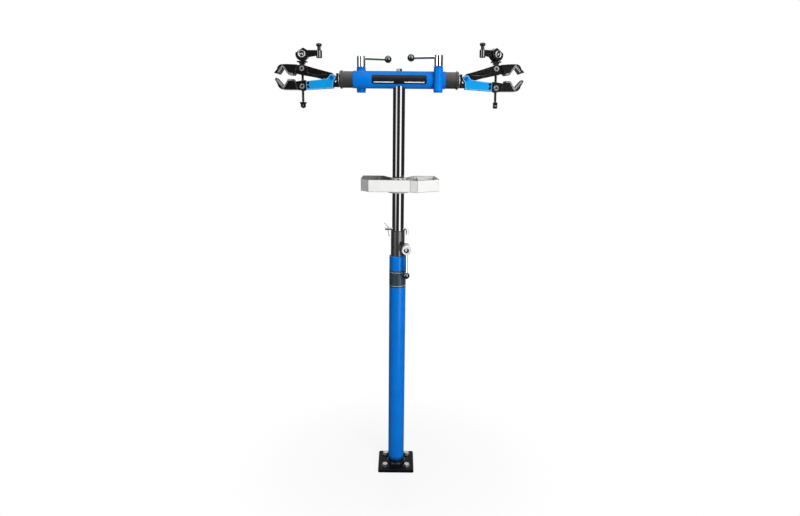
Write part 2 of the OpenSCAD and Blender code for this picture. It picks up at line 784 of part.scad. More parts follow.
// Tray
module at_collar_screws() {
    for (a = [-40, 0, 40]) translate([0, 0, collar_top - collar_show / 2]) rotate(a) to_front() children();
}
module tray_collar() {
    color("#d2d2cf") difference() {
        union() {
            translate([0, 0, collar_foot]) cylinder(r = collar_r, h = collar_top - collar_foot);
            translate([0, 0, collar_foot]) cylinder(r = tray_hub_r + collar_flange, h = collar_flange_t);
        }
        translate([0, 0, collar_foot - cut])
            cylinder(r = mast_r + run_gap, h = collar_top - collar_foot + 2 * cut);
        at_collar_screws() cylinder(r = collar_screw_d / 2 + seat_gap, h = 2 * collar_r);
    }
}
module collar_screws() {
    color("#303032") at_collar_screws() translate([0, 0, mast_r + face_gap])
        cylinder(d = collar_screw_d, h = collar_wall - 0.5);
}
module tray() {
    inner = inset(tray_outline, tray_wall);
    mid_wall = inset(tray_outline, tray_wall / 2);
    color("#e6e6e2") difference() {
        union() {
            translate([0, 0, tray_z]) linear_extrude(tray_h) difference() {
                polygon(tray_outline);
                polygon(inner);
            }
            translate([0, 0, tray_z]) linear_extrude(tray_floor) polygon(mid_wall);
            intersection() {
                translate([0, 0, tray_z]) linear_extrude(tray_h) polygon(mid_wall);
                for (s = [-1, 1]) translate([s * divider_x - tray_wall / 2, -tray_front, tray_z])
                    cube([tray_wall, tray_front + tray_rear, tray_h - 6]);
            }
            translate([0, 0, tray_z]) cylinder(r = tray_hub_r, h = tray_hub_top - tray_z);
        }
        translate([0, 0, tray_z - cut]) cylinder(r = collar_r + run_gap, h = tray_h + 2 * cut);
    }
}

// Clamp, X outward from the mast, Z from the shaft's axis
module clamp_shaft() {
    inner = pivot_x - root_r - 2;
    under = pivot_z - root_r - 1.5;
    neck = [
        [neck_x - cut, -neck_down], [neck_x - cut, neck_up],
        [inner, neck_up], [inner, -neck_down]
    ];
    tongue = [
        [inner - cut, -neck_down], [inner - cut, under],
        [pivot_x + 10, under], [pivot_x + 10, -neck_down]
    ];
    color("#1a1a1c") difference() {
        union() {
            translate([shaft_in, 0, 0]) along_x() cylinder(r = shaft_r, h = lip_x + 1.5 - shaft_in);
            translate([lip_x, 0, 0]) along_x() cylinder(d = neck_washer_d - 8, h = neck_x - lip_x);
            translate([washer_x, 0, 0]) along_x() cylinder(d = neck_washer_d, h = neck_washer_t);
            slab(neck, neck_w);
            slab(tongue, jaw_arm_w);
        }
        translate([shaft_in - cut, 0, 0]) along_x()
            cylinder(r = shaft_r - shaft_wall, h = lip_x - shaft_in - 10);
    }
}

module thrust_collar() {
    color("#4b4946") difference() {
        union() {
            translate([thrust_x, 0, 0]) along_x() cylinder(d = thrust_d, h = thrust_len);
            translate([lip_x - lip_w, 0, 0]) along_x() cylinder(r = thrust_d / 2 + lip_h, h = lip_w);
        }
        translate([thrust_x - cut, 0, 0]) along_x()
            cylinder(r = shaft_r + seat_gap, h = thrust_len + 2 * cut);
    }
}

// Underside of the channel arm at a distance from the mast axis
function arm_foot(x) =
    -arm_drop_in - (arm_drop_out - arm_drop_in) * (x - pivot_x + arm_heel) / (arm_len + arm_heel);
// Side view of the channel arm, with the ear round the jaw pivot
arm_outline = concat(
    arc(pivot, root_r - 1, ear_round[0], ear_round[1]),
    [[pivot_x + 16, pivot_z - 3]],
    [for (z = [-arm_top_drop, -arm_drop_out]) [arm_end, z]],
    [[pivot_x - arm_heel, -arm_drop_in], [pivot_x - arm_heel, pivot_z - root_r - 2]]
);
arm_pocket = [
    [pivot_x - 40, arm_foot(pivot_x - 40) + arm_t],
    [arm_end + cut, arm_foot(arm_end + cut) + arm_t],
    [arm_end + cut, pivot_z + 3 * root_r],
    [pivot_x - 40, pivot_z + 3 * root_r]
];
module at_jaw_bolts() {
    for (z = [arm_top_drop + 5.5, arm_drop_out - 10]) translate([arm_end - 7, 0, -z]) along_y() children();
}
module at_pivot() { translate([pivot.x, 0, pivot.y]) along_y() children(); }
module jaw_arm() {
    color("#1690e8") difference() {
        slab(arm_outline, arm_w);
        slab(arm_pocket, inner_w);
        at_jaw_bolts() cylinder(r = jaw_bolt_d / 2 + seat_gap, h = 2 * arm_w, center = true);
        at_pivot() cylinder(r = pivot_d / 2 + seat_gap, h = 2 * arm_w, center = true);
    }
}
// A bolt with a round head at both ends, centred on its length
module headed_bolt(d, len, head_d, head_t) {
    cylinder(d = d, h = len + 2 * head_t, center = true);
    for (s = [-1, 1]) translate([0, 0, s * (len + head_t) / 2])
        cylinder(d = head_d, h = head_t, center = true);
}
module arm_fasteners() {
    color("#1b1f2b") {
        at_pivot() headed_bolt(pivot_d, arm_w, pivot_d + 4, 3);
        at_jaw_bolts() headed_bolt(jaw_bolt_d, arm_w, jaw_bolt_d + 3, 2.5);
    }
}

// Jaws: an arm that lies in or over the channel, and a wider head with the seat of its V pad
lower_seat = beside(lower_grip, pad_t);
upper_seat = beside(upper_grip, -pad_t);
lower_head = concat(
    lower_seat,
    [[boss_r + 8, 16], [boss_r, -11.5]],
    arc([grip_x, 8.5], 20, -90, -10),
    [[grip_x + 29, 23]]
);
upper_head = concat(
    upper_seat,
    [[boss_r + 8, -16], [boss_r, 12], [grip_x - 12, 13]],
    arc([grip_x + 2, -5.5], 18, 90, 5),
    [[grip_x + 29, -13.5], [grip_x + 29, -16.5]]
);
arm_bed = arm_t + arm_play;
lower_shank = [
    [arm_end - 29, arm_foot(arm_end - 29) + arm_bed],
    [arm_end, arm_foot(arm_end) + arm_bed],
    lower_t + [-10, -11.5],
    lower_t + [40, -11.5],
    lower_t + [40, 10],
    lower_t + [boss_r + 8, 16],
    lower_t + [-10, 21],
    [arm_end + 2, -arm_top_drop + 3],
    [arm_end - 3, -arm_top_drop - 1.5],
    [arm_end - 29, -arm_top_drop - 4.5]
];
upper_back = [[-74, -6.5], [-42, 1.5], [-10.7, 10.5], [40, 12]];
upper_belly = [[40, -16], [boss_r + 8, -16], [5, -20], [-46, -28.5]];
upper_shank = concat(
    arc(pivot, root_r, 270, 100),
    [pivot + [-1, root_r + 3.3]],
    [for (p = concat(upper_back, upper_belly)) upper_t + p]
);
shank_recess = [
    pivot + [20, 10.5],
    upper_t + [-42, -4.5],
    upper_t + [-18, 3],
    upper_t + [-18, -13],
    upper_t + [-46, -21]
];
module at_trunnion(t) { translate([t.x, 0, t.y]) children(); }
module trunnion_bore() { along_y() cylinder(r = trunnion_d / 2 + run_gap, h = 2 * arm_w, center = true); }
module screw_slot() { translate([-boss_r, -jaw_slot_w / 2, -50]) cube([2 * boss_r, jaw_slot_w, 100]); }
module lower_jaw() {
    color("#161617") difference() {
        union() {
            slab(lower_shank, jaw_arm_w);
            at_trunnion(lower_t) slab(lower_head, jaw_w);
            at_trunnion(lower_t) along_y() cylinder(r = boss_r, h = jaw_arm_w, center = true);
        }
        at_trunnion(lower_t) trunnion_bore();
        at_trunnion(lower_t) screw_slot();
        at_jaw_bolts() cylinder(r = jaw_bolt_d / 2 + seat_gap, h = 2 * arm_w, center = true);
    }
}
module upper_jaw(open) {
    color("#161617") with_jaw(open) difference() {
        union() {
            slab(upper_shank, jaw_arm_w);
            at_trunnion(upper_t) slab(upper_head, jaw_w);
            at_trunnion(upper_t) along_y() cylinder(r = boss_r, h = jaw_arm_w, center = true);
        }
        at_trunnion(upper_t) trunnion_bore();
        at_trunnion(upper_t) screw_slot();
        at_pivot() cylinder(r = pivot_d / 2 + run_gap, h = 2 * arm_w, center = true);
        for (s = [-1, 1]) translate([0, s * jaw_arm_w / 2, 0]) slab(shank_recess, 2 * recess_t);
    }
}
module pad(grip, seat) { color("#3a3a3c") slab(concat(grip, reversed(seat)), jaw_w - 2); }
module lower_pad() { at_trunnion(lower_t) pad(lower_grip, lower_seat); }
module upper_pad(open) { with_jaw(open) at_trunnion(upper_t) pad(upper_grip, upper_seat); }

// A cross nut; the screw passes through its middle
module trunnion() {
    color("silver") difference() {
        translate([0, trunnion_len / 2, 0]) to_front() turned_bar(trunnion_d / 2, trunnion_len, 1);
        cylinder(r = screw_d / 2 + run_gap, h = 2 * trunnion_d, center = true);
        for (s = [-1, 1]) translate([0, s * trunnion_len / 2, 0]) along_y()
            cylinder(d = trunnion_d / 2, h = 2 * recess_t, center = true, $fn = 6);
    }
}
module lower_trunnion(open) { on_screw(open) trunnion(); }
module upper_trunnion(open) {
    on_screw(open) translate([0, 0, 2 * link_r * sin(link_a + open / 2)]) trunnion();
}

// Screw and cam
module saddle(open) {
    base_h = saddle_h - wing_t;
    color("#1c1c1e") on_screw(open) translate([0, 0, saddle_foot(open)]) difference() {
        union() {
            translate([-9, 2 - jaw_arm_w / 2, 0]) cube([18, jaw_arm_w - 4, base_h + cut]);
            translate([-wing_span / 2, -cam_w / 2, base_h]) cube([wing_span, cam_w, wing_t]);
        }
        translate([0, 0, -cut]) cylinder(r = screw_d / 2 + run_gap, h = saddle_h + 2 * cut);
    }
}
module screw(open, turn) {
    top = cam_z(open) + lever_pin_d / 2 + screw_over;
    foot = screw_foot(open) - tab_grip;
    color("#202022") on_screw(open) rotate(180 + turn) difference() {
        translate([0, 0, foot]) cylinder(d = screw_d, h = top - foot);
        translate([0, 0, cam_z(open)]) along_y()
            cylinder(r = lever_pin_d / 2 + seat_gap, h = 2 * screw_d, center = true);
    }
}
module end_tab(open, turn) {
    tab_r = tab_w / 2;
    outline = concat(
        [[-tab_r, 0], [tab_r, 0], [tab_r - 1.5, -4]],
        arc([0, -tab_drop], tab_end_r, tab_round[0], tab_round[1], 14),
        [[1.5 - tab_r, -4]]
    );
    color("#161617") on_screw(open) rotate(turn) translate([0, 0, screw_foot(open)]) difference() {
        slab(reversed(outline), tab_t);
        translate([0, 0, -tab_grip - seat_gap]) cylinder(r = screw_d / 2 + seat_gap, h = tab_grip + cut);
    }
}
module lever_pin(open, turn) {
    color("silver") on_crank(open, turn) along_y() cylinder(d = lever_pin_d, h = cam_w, center = true);
}
module cam_lever(open, turn) {
    hub = concat(
        [cam_peak],
        arc([0, 0], cam_r, cam_round[0], cam_round[1], 12),
        [[cam_r, -8], [cam_r, crank_up - 2.5]]
    );
    arm = [
        [0, crank_up - 1], [crank_len, crank_up - 1], [crank_len, -3], [crank_len - 14, -4],
        [cam_r, -8], [cam_r * 0.6, -14], [0, -10]
    ];
    block_r = crank_w / 2 + 3;
    slot_w = screw_d + 2 * face_gap;
    color("#131314") on_crank(open, turn) difference() {
        union() {
            slab(hub, cam_w);
            slab(arm, crank_w);
            translate([crank_len, 0, -crank_down]) turned_bar(block_r, crank_up + crank_down, 2);
            translate([crank_len, 0, 0]) cylinder(d = spindle_d, h = knob_z + knob_h - 5);
        }
        translate([-2 * cam_r, -slot_w / 2, -2 * cam_r])
            cube([2 * cam_r + screw_corner + face_gap, slot_w, 4 * cam_r]);
        along_y() cylinder(r = lever_pin_d / 2 + run_gap, h = 2 * cam_w, center = true);
    }
}
module knob(open, turn) {
    stem_r = knob_stem_d / 2;
    head_r = knob_d / 2;
    bore_r = spindle_d / 2 + run_gap;
    color("#131314") on_crank(open, turn) translate([crank_len, 0, knob_z]) rotate_extrude() polygon(concat(
        [[bore_r, 0], [stem_r, 0], [stem_r, knob_h - 11.5]],
        arc([head_r - 5.5, knob_h - 5.5], 5.5, -70, 80, 6),
        [[0, knob_h], [0, knob_h - 4], [bore_r, knob_h - 4]]
    ));
}

module left_clamp_shaft() { on_side(left) clamp_shaft(); }
module left_thrust_collar() { on_side(left) thrust_collar(); }
module left_jaw_arm() { on_side(left) jaw_arm(); }
module left_arm_fasteners() { on_side(left) arm_fasteners(); }
module left_lower_jaw() { on_side(left) lower_jaw(); }
module left_lower_pad() { on_side(left) lower_pad(); }
module left_upper_jaw() { on_side(left) upper_jaw(left_open); }
module left_upper_pad() { on_side(left) upper_pad(left_open); }
module left_lower_trunnion() { on_side(left) lower_trunnion(left_open); }
module left_upper_trunnion() { on_side(left) upper_trunnion(left_open); }
module left_saddle() { on_side(left) saddle(left_open); }
module left_screw() { on_side(left) screw(left_open, left_crank_turn); }
module left_end_tab() { on_side(left) end_tab(left_open, left_tab_turn); }
module left_cam_lever() { on_side(left) cam_lever(left_open, left_crank_turn); }
module left_lever_pin() { on_side(left) lever_pin(left_open, left_crank_turn); }
module left_knob() { on_side(left) knob(left_open, left_crank_turn); }
module right_clamp_shaft() { on_side(right) clamp_shaft(); }
module right_thrust_collar() { on_side(right) thrust_collar(); }
module right_jaw_arm() { on_side(right) jaw_arm(); }
module right_arm_fasteners() { on_side(right) arm_fasteners(); }
module right_lower_jaw() { on_side(right) lower_jaw(); }
module right_lower_pad() { on_side(right) lower_pad(); }
module right_upper_jaw() { on_side(right) upper_jaw(right_open); }
module right_upper_pad() { on_side(right) upper_pad(right_open); }
module right_lower_trunnion() { on_side(right) lower_trunnion(right_open); }
module right_upper_trunnion() { on_side(right) upper_trunnion(right_open); }
module right_saddle() { on_side(right) saddle(right_open); }
module right_screw() { on_side(right) screw(right_open, right_crank_turn); }
module right_end_tab() { on_side(right) end_tab(right_open, right_tab_turn); }
module right_cam_lever() { on_side(right) cam_lever(right_open, right_crank_turn); }
module right_lever_pin() { on_side(right) lever_pin(right_open, right_crank_turn); }
module right_knob() { on_side(right) knob(right_open, right_crank_turn); }

base_plate();
floor_bolts();
floor_washers();
lower_tube();
clamp_sleeve();
sleeve_bolts();
height_hub();
height_rod();
height_ball();
sleeve_liner();
upper_tube();
mast_foot();
height_pin();
pin_clip();
mast_plug();
head_tube();
head_bolt();
lock_wedges();
lock_studs();
left_lock_barrel();
left_lock_rod();
left_lock_ball();
right_lock_barrel();
right_lock_rod();
right_lock_ball();
tray_collar();
collar_screws();
tray();
left_clamp_shaft();
left_thrust_collar();
left_jaw_arm();
left_arm_fasteners();
left_lower_jaw();
left_lower_pad();
left_upper_jaw();
left_upper_pad();
left_lower_trunnion();
left_upper_trunnion();
left_saddle();
left_screw();
left_end_tab();
left_cam_lever();
left_lever_pin();
left_knob();
right_clamp_shaft();
right_thrust_collar();
right_jaw_arm();
right_arm_fasteners();
right_lower_jaw();
right_lower_pad();
right_upper_jaw();
right_upper_pad();
right_lower_trunnion();
right_upper_trunnion();
right_saddle();
right_screw();
right_end_tab();
right_cam_lever();
right_lever_pin();
right_knob();
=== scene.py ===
"""Looks of a floor-mounted bicycle repair stand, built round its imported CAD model.

Metres, +Z up, front towards -Y. New pieces are drawn in millimetres and scaled when they are done.
Every piece rides on a CAD body, so it follows the joints.
"""

import json
import math

import bmesh
import bpy
from mathutils import Matrix, Vector
from mathutils.bvhtree import BVHTree


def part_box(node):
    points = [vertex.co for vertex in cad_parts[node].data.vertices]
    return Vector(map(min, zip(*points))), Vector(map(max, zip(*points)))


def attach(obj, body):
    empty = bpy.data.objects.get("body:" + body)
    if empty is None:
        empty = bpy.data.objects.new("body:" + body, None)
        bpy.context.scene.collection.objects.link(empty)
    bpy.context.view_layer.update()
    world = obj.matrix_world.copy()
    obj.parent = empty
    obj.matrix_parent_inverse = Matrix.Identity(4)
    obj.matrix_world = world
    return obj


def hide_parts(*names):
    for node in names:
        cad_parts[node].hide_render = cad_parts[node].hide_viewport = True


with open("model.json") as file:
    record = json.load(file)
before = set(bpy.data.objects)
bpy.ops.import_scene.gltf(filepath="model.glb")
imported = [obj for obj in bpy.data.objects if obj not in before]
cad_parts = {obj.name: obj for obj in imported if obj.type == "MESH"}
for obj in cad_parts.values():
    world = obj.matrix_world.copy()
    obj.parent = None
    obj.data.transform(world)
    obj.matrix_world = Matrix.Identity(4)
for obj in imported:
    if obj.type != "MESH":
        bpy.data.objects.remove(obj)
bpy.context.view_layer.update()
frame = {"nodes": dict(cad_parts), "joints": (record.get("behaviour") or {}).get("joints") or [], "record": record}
nodes = frame["nodes"]
bodies = {node: body for body, members in frame["record"]["behaviour"]["bodies"].items() for node in members}
slots = {part["node"]: part["material_slot"] for part in frame["record"]["subparts"]}
joints = {joint["name"]: joint for joint in frame["joints"]}
scene = bpy.context.scene
MM = 0.001
# Which way along X each clamp points
SIDES = {"left": -1, "right": 1}


# Materials
class Tree:
    """A node tree, with one short call for each kind of node that is used here."""

    def __init__(self, tree):
        self.tree = tree

    def add(self, kind, **settings):
        node = self.tree.nodes.new(kind)
        for key, value in settings.items():
            setattr(node, key, value)
        return node

    def link(self, out, socket):
        self.tree.links.new(out, socket)

    def split(self, vector):
        """The X, Y and Z outputs of a vector."""
        node = self.add("ShaderNodeSeparateXYZ")
        self.link(vector, node.inputs["Vector"])
        return node.outputs

    def math(self, operation, a, b=0.0):
        node = self.add("ShaderNodeMath", operation=operation)
        for socket, value in zip(node.inputs, (a, b)):
            if isinstance(value, (int, float)):
                socket.default_value = value
            else:
                self.link(value, socket)
        return node.outputs["Value"]

    def choose(self, factor, otherwise, then):
        """The number otherwise where factor is 0 and then where it is 1."""
        off = self.math("MULTIPLY", self.math("SUBTRACT", 1.0, factor), otherwise)
        return self.math("ADD", self.math("MULTIPLY", factor, then), off)

    def fit(self, value, low, high, to_low=0.0, to_high=1.0, easing="LINEAR"):
        """Maps low..high to to_low..to_high, clamped."""
        node = self.add("ShaderNodeMapRange", interpolation_type=easing)
        for key, number in zip(("From Min", "From Max", "To Min", "To Max"), (low, high, to_low, to_high)):
            node.inputs[key].default_value = number
        self.link(value, node.inputs["Value"])
        return node.outputs["Result"]

    def ease(self, value, low, high, to_low=0.0, to_high=1.0):
        """The same as fit with a soft start and end."""
        return self.fit(value, low, high, to_low, to_high, "SMOOTHSTEP")


# Most of a noise texture's values lie between these
NOISE_SPAN = (0.3, 0.7)


class Shade(Tree):
    """A material on a Principled shader, with its object coordinates at hand."""

    def __init__(self, name, **sockets):
        self.material = bpy.data.materials.new(name)
        self.material.use_nodes = True
        super().__init__(self.material.node_tree)
        self.shader = self.tree.nodes["Principled BSDF"]
        self.place = self.add("ShaderNodeTexCoord").outputs["Object"]
        for key, value in sockets.items():
            self.shader.inputs[key.replace("_", " ")].default_value = value

    def set(self, socket, out):
        self.link(out, self.shader.inputs[socket])

    def axis(self, letter):
        return self.split(self.place)[letter]

    def mark(self, name):
        """What the faces carry: edge where they are rounded, inside where they lie in a hollow."""
        return self.add("ShaderNodeAttribute", attribute_name=name).outputs["Fac"]

    def scaled(self, scale):
        """Object coordinates stretched by one factor per axis."""
        node = self.add("ShaderNodeMapping")
        node.inputs["Scale"].default_value = scale
        self.link(self.place, node.inputs["Vector"])
        return node.outputs["Vector"]

    def noise(self, scale, detail=3.0, roughness=0.55, where=None):
        node = self.add("ShaderNodeTexNoise")
        node.inputs["Scale"].default_value = scale
        node.inputs["Detail"].default_value = detail
        node.inputs["Roughness"].default_value = roughness
        self.link(where or self.place, node.inputs["Vector"])
        return node.outputs["Fac"]

    def between(self, value, low, high, soft):
        """1 where low < value < high, with soft edges."""
        rise = self.fit(value, low - soft, low + soft)
        fall = self.fit(value, high - soft, high + soft, 1.0, 0.0)
        return self.math("MULTIPLY", rise, fall)

    def blend(self, factor, a, b):
        """Colour a where factor is 0 and b where it is 1."""
        node = self.add("ShaderNodeMix", data_type="RGBA")
        sockets = [s for s in node.inputs if s.enabled]
        self.link(factor, sockets[0])
        for socket, value in zip(sockets[1:], (a, b)):
            if isinstance(value, (tuple, list)):
                socket.default_value = (*value, 1.0)
            else:
                self.link(value, socket)
        return [s for s in node.outputs if s.enabled][0]

    def cloudy(self, scale, dark, light, detail=4.0):
        """A colour that drifts between two tones."""
        return self.blend(self.fit(self.noise(scale, detail), *NOISE_SPAN), dark, light)

    def bump(self, height, depth, strength):
        """Relief from a height of 0 to 1, depth in mm."""
        node = self.add("ShaderNodeBump")
        node.inputs["Distance"].default_value = depth * MM
        node.inputs["Strength"].default_value = strength
        self.link(height, node.inputs["Height"])
        self.set("Normal", node.outputs["Normal"])


def tint(colour, factor):
    return tuple(min(1.0, c * factor) for c in colour)


def paint(name, colour, rough, peel=0.35, rub_and_highlight=None, coat=0.0, grain=700, **sockets):
    """Sprayed or powder-coated metal: cloudy tone, orange peel, paler along rounded edges: rubbed wear, and with a
    pale rub colour also a painted highlight.
    """
    s = Shade(name, Coat_Weight=coat, **{"Coat_Roughness": 0.08, **sockets})
    tone = s.cloudy(14, tint(colour, 0.92), tint(colour, 1.08))
    wear_and_highlight = s.fit(s.noise(160), 0.35, 0.6, 0.15, 0.9)
    pale = rub_and_highlight or tuple(min(1.0, c * 1.35 + 0.02) for c in colour)
    s.tone = s.blend(s.math("MULTIPLY", s.mark("edge"), wear_and_highlight), tone, pale)
    s.set("Base Color", s.tone)
    s.set("Roughness", s.fit(s.noise(60, 4), 0.25, 0.75, rough * 0.8, rough * 1.25))
    s.bump(s.noise(grain, 2), 0.06, peel)
    return s


def bare_metal(name, colour, rough, along=(1, 1, 1), scratch=0.25):
    """Plated or turned metal with fine marks; along shortens the axis that the marks follow."""
    s = Shade(name, Metallic=1.0)
    marks = s.noise(900, 3, 0.6, s.scaled(along))
    s.tone = s.cloudy(45, tint(colour, 0.9), tint(colour, 1.06))
    s.set("Base Color", s.tone)
    s.set("Roughness", s.fit(marks, *NOISE_SPAN, rough * 0.75, rough * 1.4))
    s.bump(marks, 0.03, scratch)
    return s


def moulded(name, colour, rough, grain=1200, depth=0.04, spread=0.06, strength=0.4, **sockets):
    """Moulded plastic: nearly even colour, fine grain, faint gloss changes."""
    s = Shade(name, **sockets)
    s.tone = s.cloudy(30, tint(colour, 1 - spread), tint(colour, 1 + spread))
    s.set("Base Color", s.tone)
    s.set("Roughness", s.fit(s.noise(140), *NOISE_SPAN, rough * 0.85, rough * 1.2))
    s.bump(s.noise(grain, 2), depth, strength)
    return s


def cast(name, colour, rough, level, rub_and_highlight=0.06):
    """Cast metal under black coat: pebbled skin, edges paler by rub: wear, and with a strong rub also a painted
    highlight.
    """
    s = Shade(name, Specular_IOR_Level=level)
    skin = s.noise(420, 4, 0.6)
    tone = s.cloudy(25, tint(colour, 0.8), tint(colour, 1.25))
    wear_and_highlight = s.fit(s.noise(220), 0.42, 0.68, 0.0, 0.8)
    marked_edges = s.math("MULTIPLY", s.mark("edge"), wear_and_highlight)
    s.set("Base Color", s.blend(marked_edges, tone, tuple(c + rub_and_highlight for c in colour)))
    s.set("Roughness", s.fit(skin, *NOISE_SPAN, rough * 0.8, rough * 1.25))
    s.bump(skin, 0.12, 0.35)
    return s


BLUE = (0.0006, 0.157, 0.60)
RUBBED_BLUE = (0.03, 0.24, 0.72)
SKY = (0.004, 0.258, 0.62)
BLACK = (0.006, 0.006, 0.007)
TRAY_PALE = (0.72, 0.72, 0.705)
# A low specular level keeps the blue deep, a strong coat makes the balls shine
DEEP = {"Specular_IOR_Level": 0.06}
LACQUER = {"Coat_Weight": 1.0, "Coat_Roughness": 0.05, "Coat_IOR": 1.8}

# The look of each material slot
looks = {
    "zinc_steel": bare_metal("zinc_plate", (0.72, 0.73, 0.74), 0.24),
    "blue_paint": paint("blue_powder_coat", BLUE, 0.42, rub_and_highlight=RUBBED_BLUE, coat=0.10, **DEEP),
    "grey_paint": paint("grey_satin", (0.034, 0.034, 0.036), 0.30, 0.3, coat=0.9, Coat_Roughness=0.2),
    "dark_steel": bare_metal("black_oxide", (0.028, 0.028, 0.030), 0.32),
    "chrome": bare_metal("chrome_plate", (0.84, 0.85, 0.86), 0.08, scratch=0.06),
    "black_ball": moulded("ball_black", BLACK, 0.10, grain=500, depth=0.02, **LACQUER),
    "bush_plastic": moulded("bush_black", (0.03, 0.03, 0.031), 0.5),
    "plain_steel": bare_metal("turned_steel", (0.34, 0.34, 0.35), 0.46, along=(1, 1, 0.05)),
    "tray_grey": moulded("collar_grey", (0.60, 0.60, 0.585), 0.42),
    "neck_black": cast("neck_black", (0.006, 0.006, 0.008), 0.24, level=0.3),
    "thrust_grey": paint("thrust_grey", (0.036, 0.034, 0.031), 0.34, 0.3),
    # The arms' pale cyan rub is partly wear and partly a painted highlight along their edges
    "arm_blue": paint("arm_blue", SKY, 0.32, rub_and_highlight=(0.30, 0.62, 0.92), coat=0.16, **DEEP),
    # The jaws' strong pale rub is mostly a painted highlight on their edges, partly wear
    "jaw_black": cast("jaw_black", (0.0045, 0.0045, 0.005), 0.22, level=0.35, rub_and_highlight=0.30),
    "pad_rubber": moulded(
        "pad_rubber", (0.035, 0.035, 0.037), 0.50, grain=380, depth=0.2, spread=0.2, strength=0.6
    ),
    "screw_black": bare_metal("screw_oxide", (0.05, 0.05, 0.053), 0.34),
    "black_plastic": moulded("knob_black", BLACK, 0.22, grain=700, depth=0.03),
}


def column_with_shaded_foot():
    """The blue column, whose foot is black paint over the weld and, up to a wavy line, painted shade and
    reflection of the dark plate.
    """
    fade_low, fade_high, wave = 26 * MM, 46 * MM, 1.5 * MM
    s = paint("column_blue", BLUE, 0.42, rub_and_highlight=RUBBED_BLUE, coat=0.30, **DEEP)
    height = s.math("ADD", s.axis("Z"), s.fit(s.noise(40), *NOISE_SPAN, -wave, wave))
    # Black at the foot: paint over the weld, and above it painted shade and reflection of the plate
    s.set("Base Color", s.blend(s.fit(height, fade_low, fade_high), (0.003, 0.006, 0.014), s.tone))
    return s


def tray_moulding():
    """The pale tray: painted shade inside it, lighter towards its right end, and darker along its edges and rims.
    """
    dark_to, pale_from = 20 * MM, 70 * MM
    rim, rim_end, rim_darkening = 1.0 * MM, 1.6 * MM, 0.85
    s = moulded("tray_moulding", TRAY_PALE, 0.40, grain=350, depth=0.02, spread=0.03, strength=0.3)
    # Painted shade on the faces inside the hollow, fading out towards the right end
    inside_painted_shade = s.blend(s.fit(s.axis("X"), dark_to, pale_from), (0.19, 0.19, 0.187), TRAY_PALE)
    tone = s.blend(s.mark("inside"), s.tone, inside_painted_shade)
    low, high = (corner.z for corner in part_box("tray"))
    level = s.axis("Z")
    rims = s.math(
        "MAXIMUM",
        s.fit(level, low + rim, low + rim_end, rim_darkening, 0.0),
        s.fit(level, high - rim_end, high - rim, 0.0, rim_darkening),
    )
    marked_edges = s.math("MAXIMUM", s.fit(s.mark("edge"), 0.0, 1.0, 0.0, 0.8), rims)
    s.set("Base Color", s.blend(marked_edges, tone, (0.12, 0.12, 0.117)))
    return s


def cross_nut():
    """Turned steel with painted shade in its sockets."""
    s = bare_metal("cross_nut", (0.30, 0.30, 0.31), 0.46, along=(1, 0.05, 1), scratch=0.4)
    # Painted shade on the socket floors
    s.set("Base Color", s.blend(s.mark("inside"), s.tone, (0.035, 0.035, 0.037)))
    return s


def arm_bolts():
    """Blue near the mast, where the jaw pivots are, and black at the jaw bolts further out."""
    blue_to, black_from = 260 * MM, 270 * MM
    s = paint("pivot_bolt", (0.003, 0.095, 0.30), 0.36, rub_and_highlight=(0.05, 0.30, 0.62), **DEEP)
    from_mast = s.math("ABSOLUTE", s.axis("X"))
    s.set("Base Color", s.blend(s.fit(from_mast, blue_to, black_from), s.tone, (0.010, 0.011, 0.016)))
    return s


# Nodes whose look differs from their slot's
nut_steel = cross_nut()
special = {
    "base_plate": paint("plate_black", BLACK, 0.26, 0.9, grain=420, Specular_IOR_Level=0.05),
    "floor_washers": bare_metal("washer_black", (0.10, 0.10, 0.105), 0.35),
    "lower_tube": column_with_shaded_foot(),
    "upper_tube": paint(
        "mast_lacquer", BLACK, 0.12, 0.02, coat=1.0, grain=60, Coat_Roughness=0.03, Coat_IOR=2.5
    ),
    # The hub is chrome; its pale colour is a painted reflection of white surroundings
    "height_hub": moulded(
        "hub_painted_reflection", (0.80, 0.80, 0.81), 0.30, grain=500, depth=0.02, spread=0.03, Metallic=0.25
    ),
    "pin_clip": bare_metal("spring_wire", (0.30, 0.30, 0.31), 0.30),
    "tray": tray_moulding(),
    "lower_trunnion": nut_steel,
    "upper_trunnion": nut_steel,
    "arm_fasteners": arm_bolts(),
    "cam_lever": bare_metal("cam_black", (0.15, 0.15, 0.155), 0.18, scratch=0.15),
}

# Looks of new pieces
bolt_zinc = bare_metal("bolt_zinc", (0.46, 0.46, 0.47), 0.28)
weld_gloss = paint(
    "weld_gloss", (0.005, 0.005, 0.006), 0.20, 0.1, coat=0.3, grain=120, Coat_Roughness=0.10,
    Specular_IOR_Level=0.15,
)
# Black for the ring of painted shade round the height lever's pin
ring_painted_shade = moulded("ring_painted_shade", (0.003, 0.003, 0.003), 0.55, Specular_IOR_Level=0.05)
boss_nickel = bare_metal("boss_nickel", (0.36, 0.36, 0.37), 0.15, scratch=0.1)
rib_grey = moulded("rib_grey", (0.36, 0.36, 0.37), 0.42, grain=380, depth=0.1, spread=0.2, strength=0.5)
# The neck washer's white is a painted highlight: a bright line at the neck
washer_painted_highlight = moulded("washer_painted_highlight", (0.80, 0.80, 0.79), 0.40, grain=700, spread=0.04)


# Making pieces
SMOOTH_TO = math.radians(38)


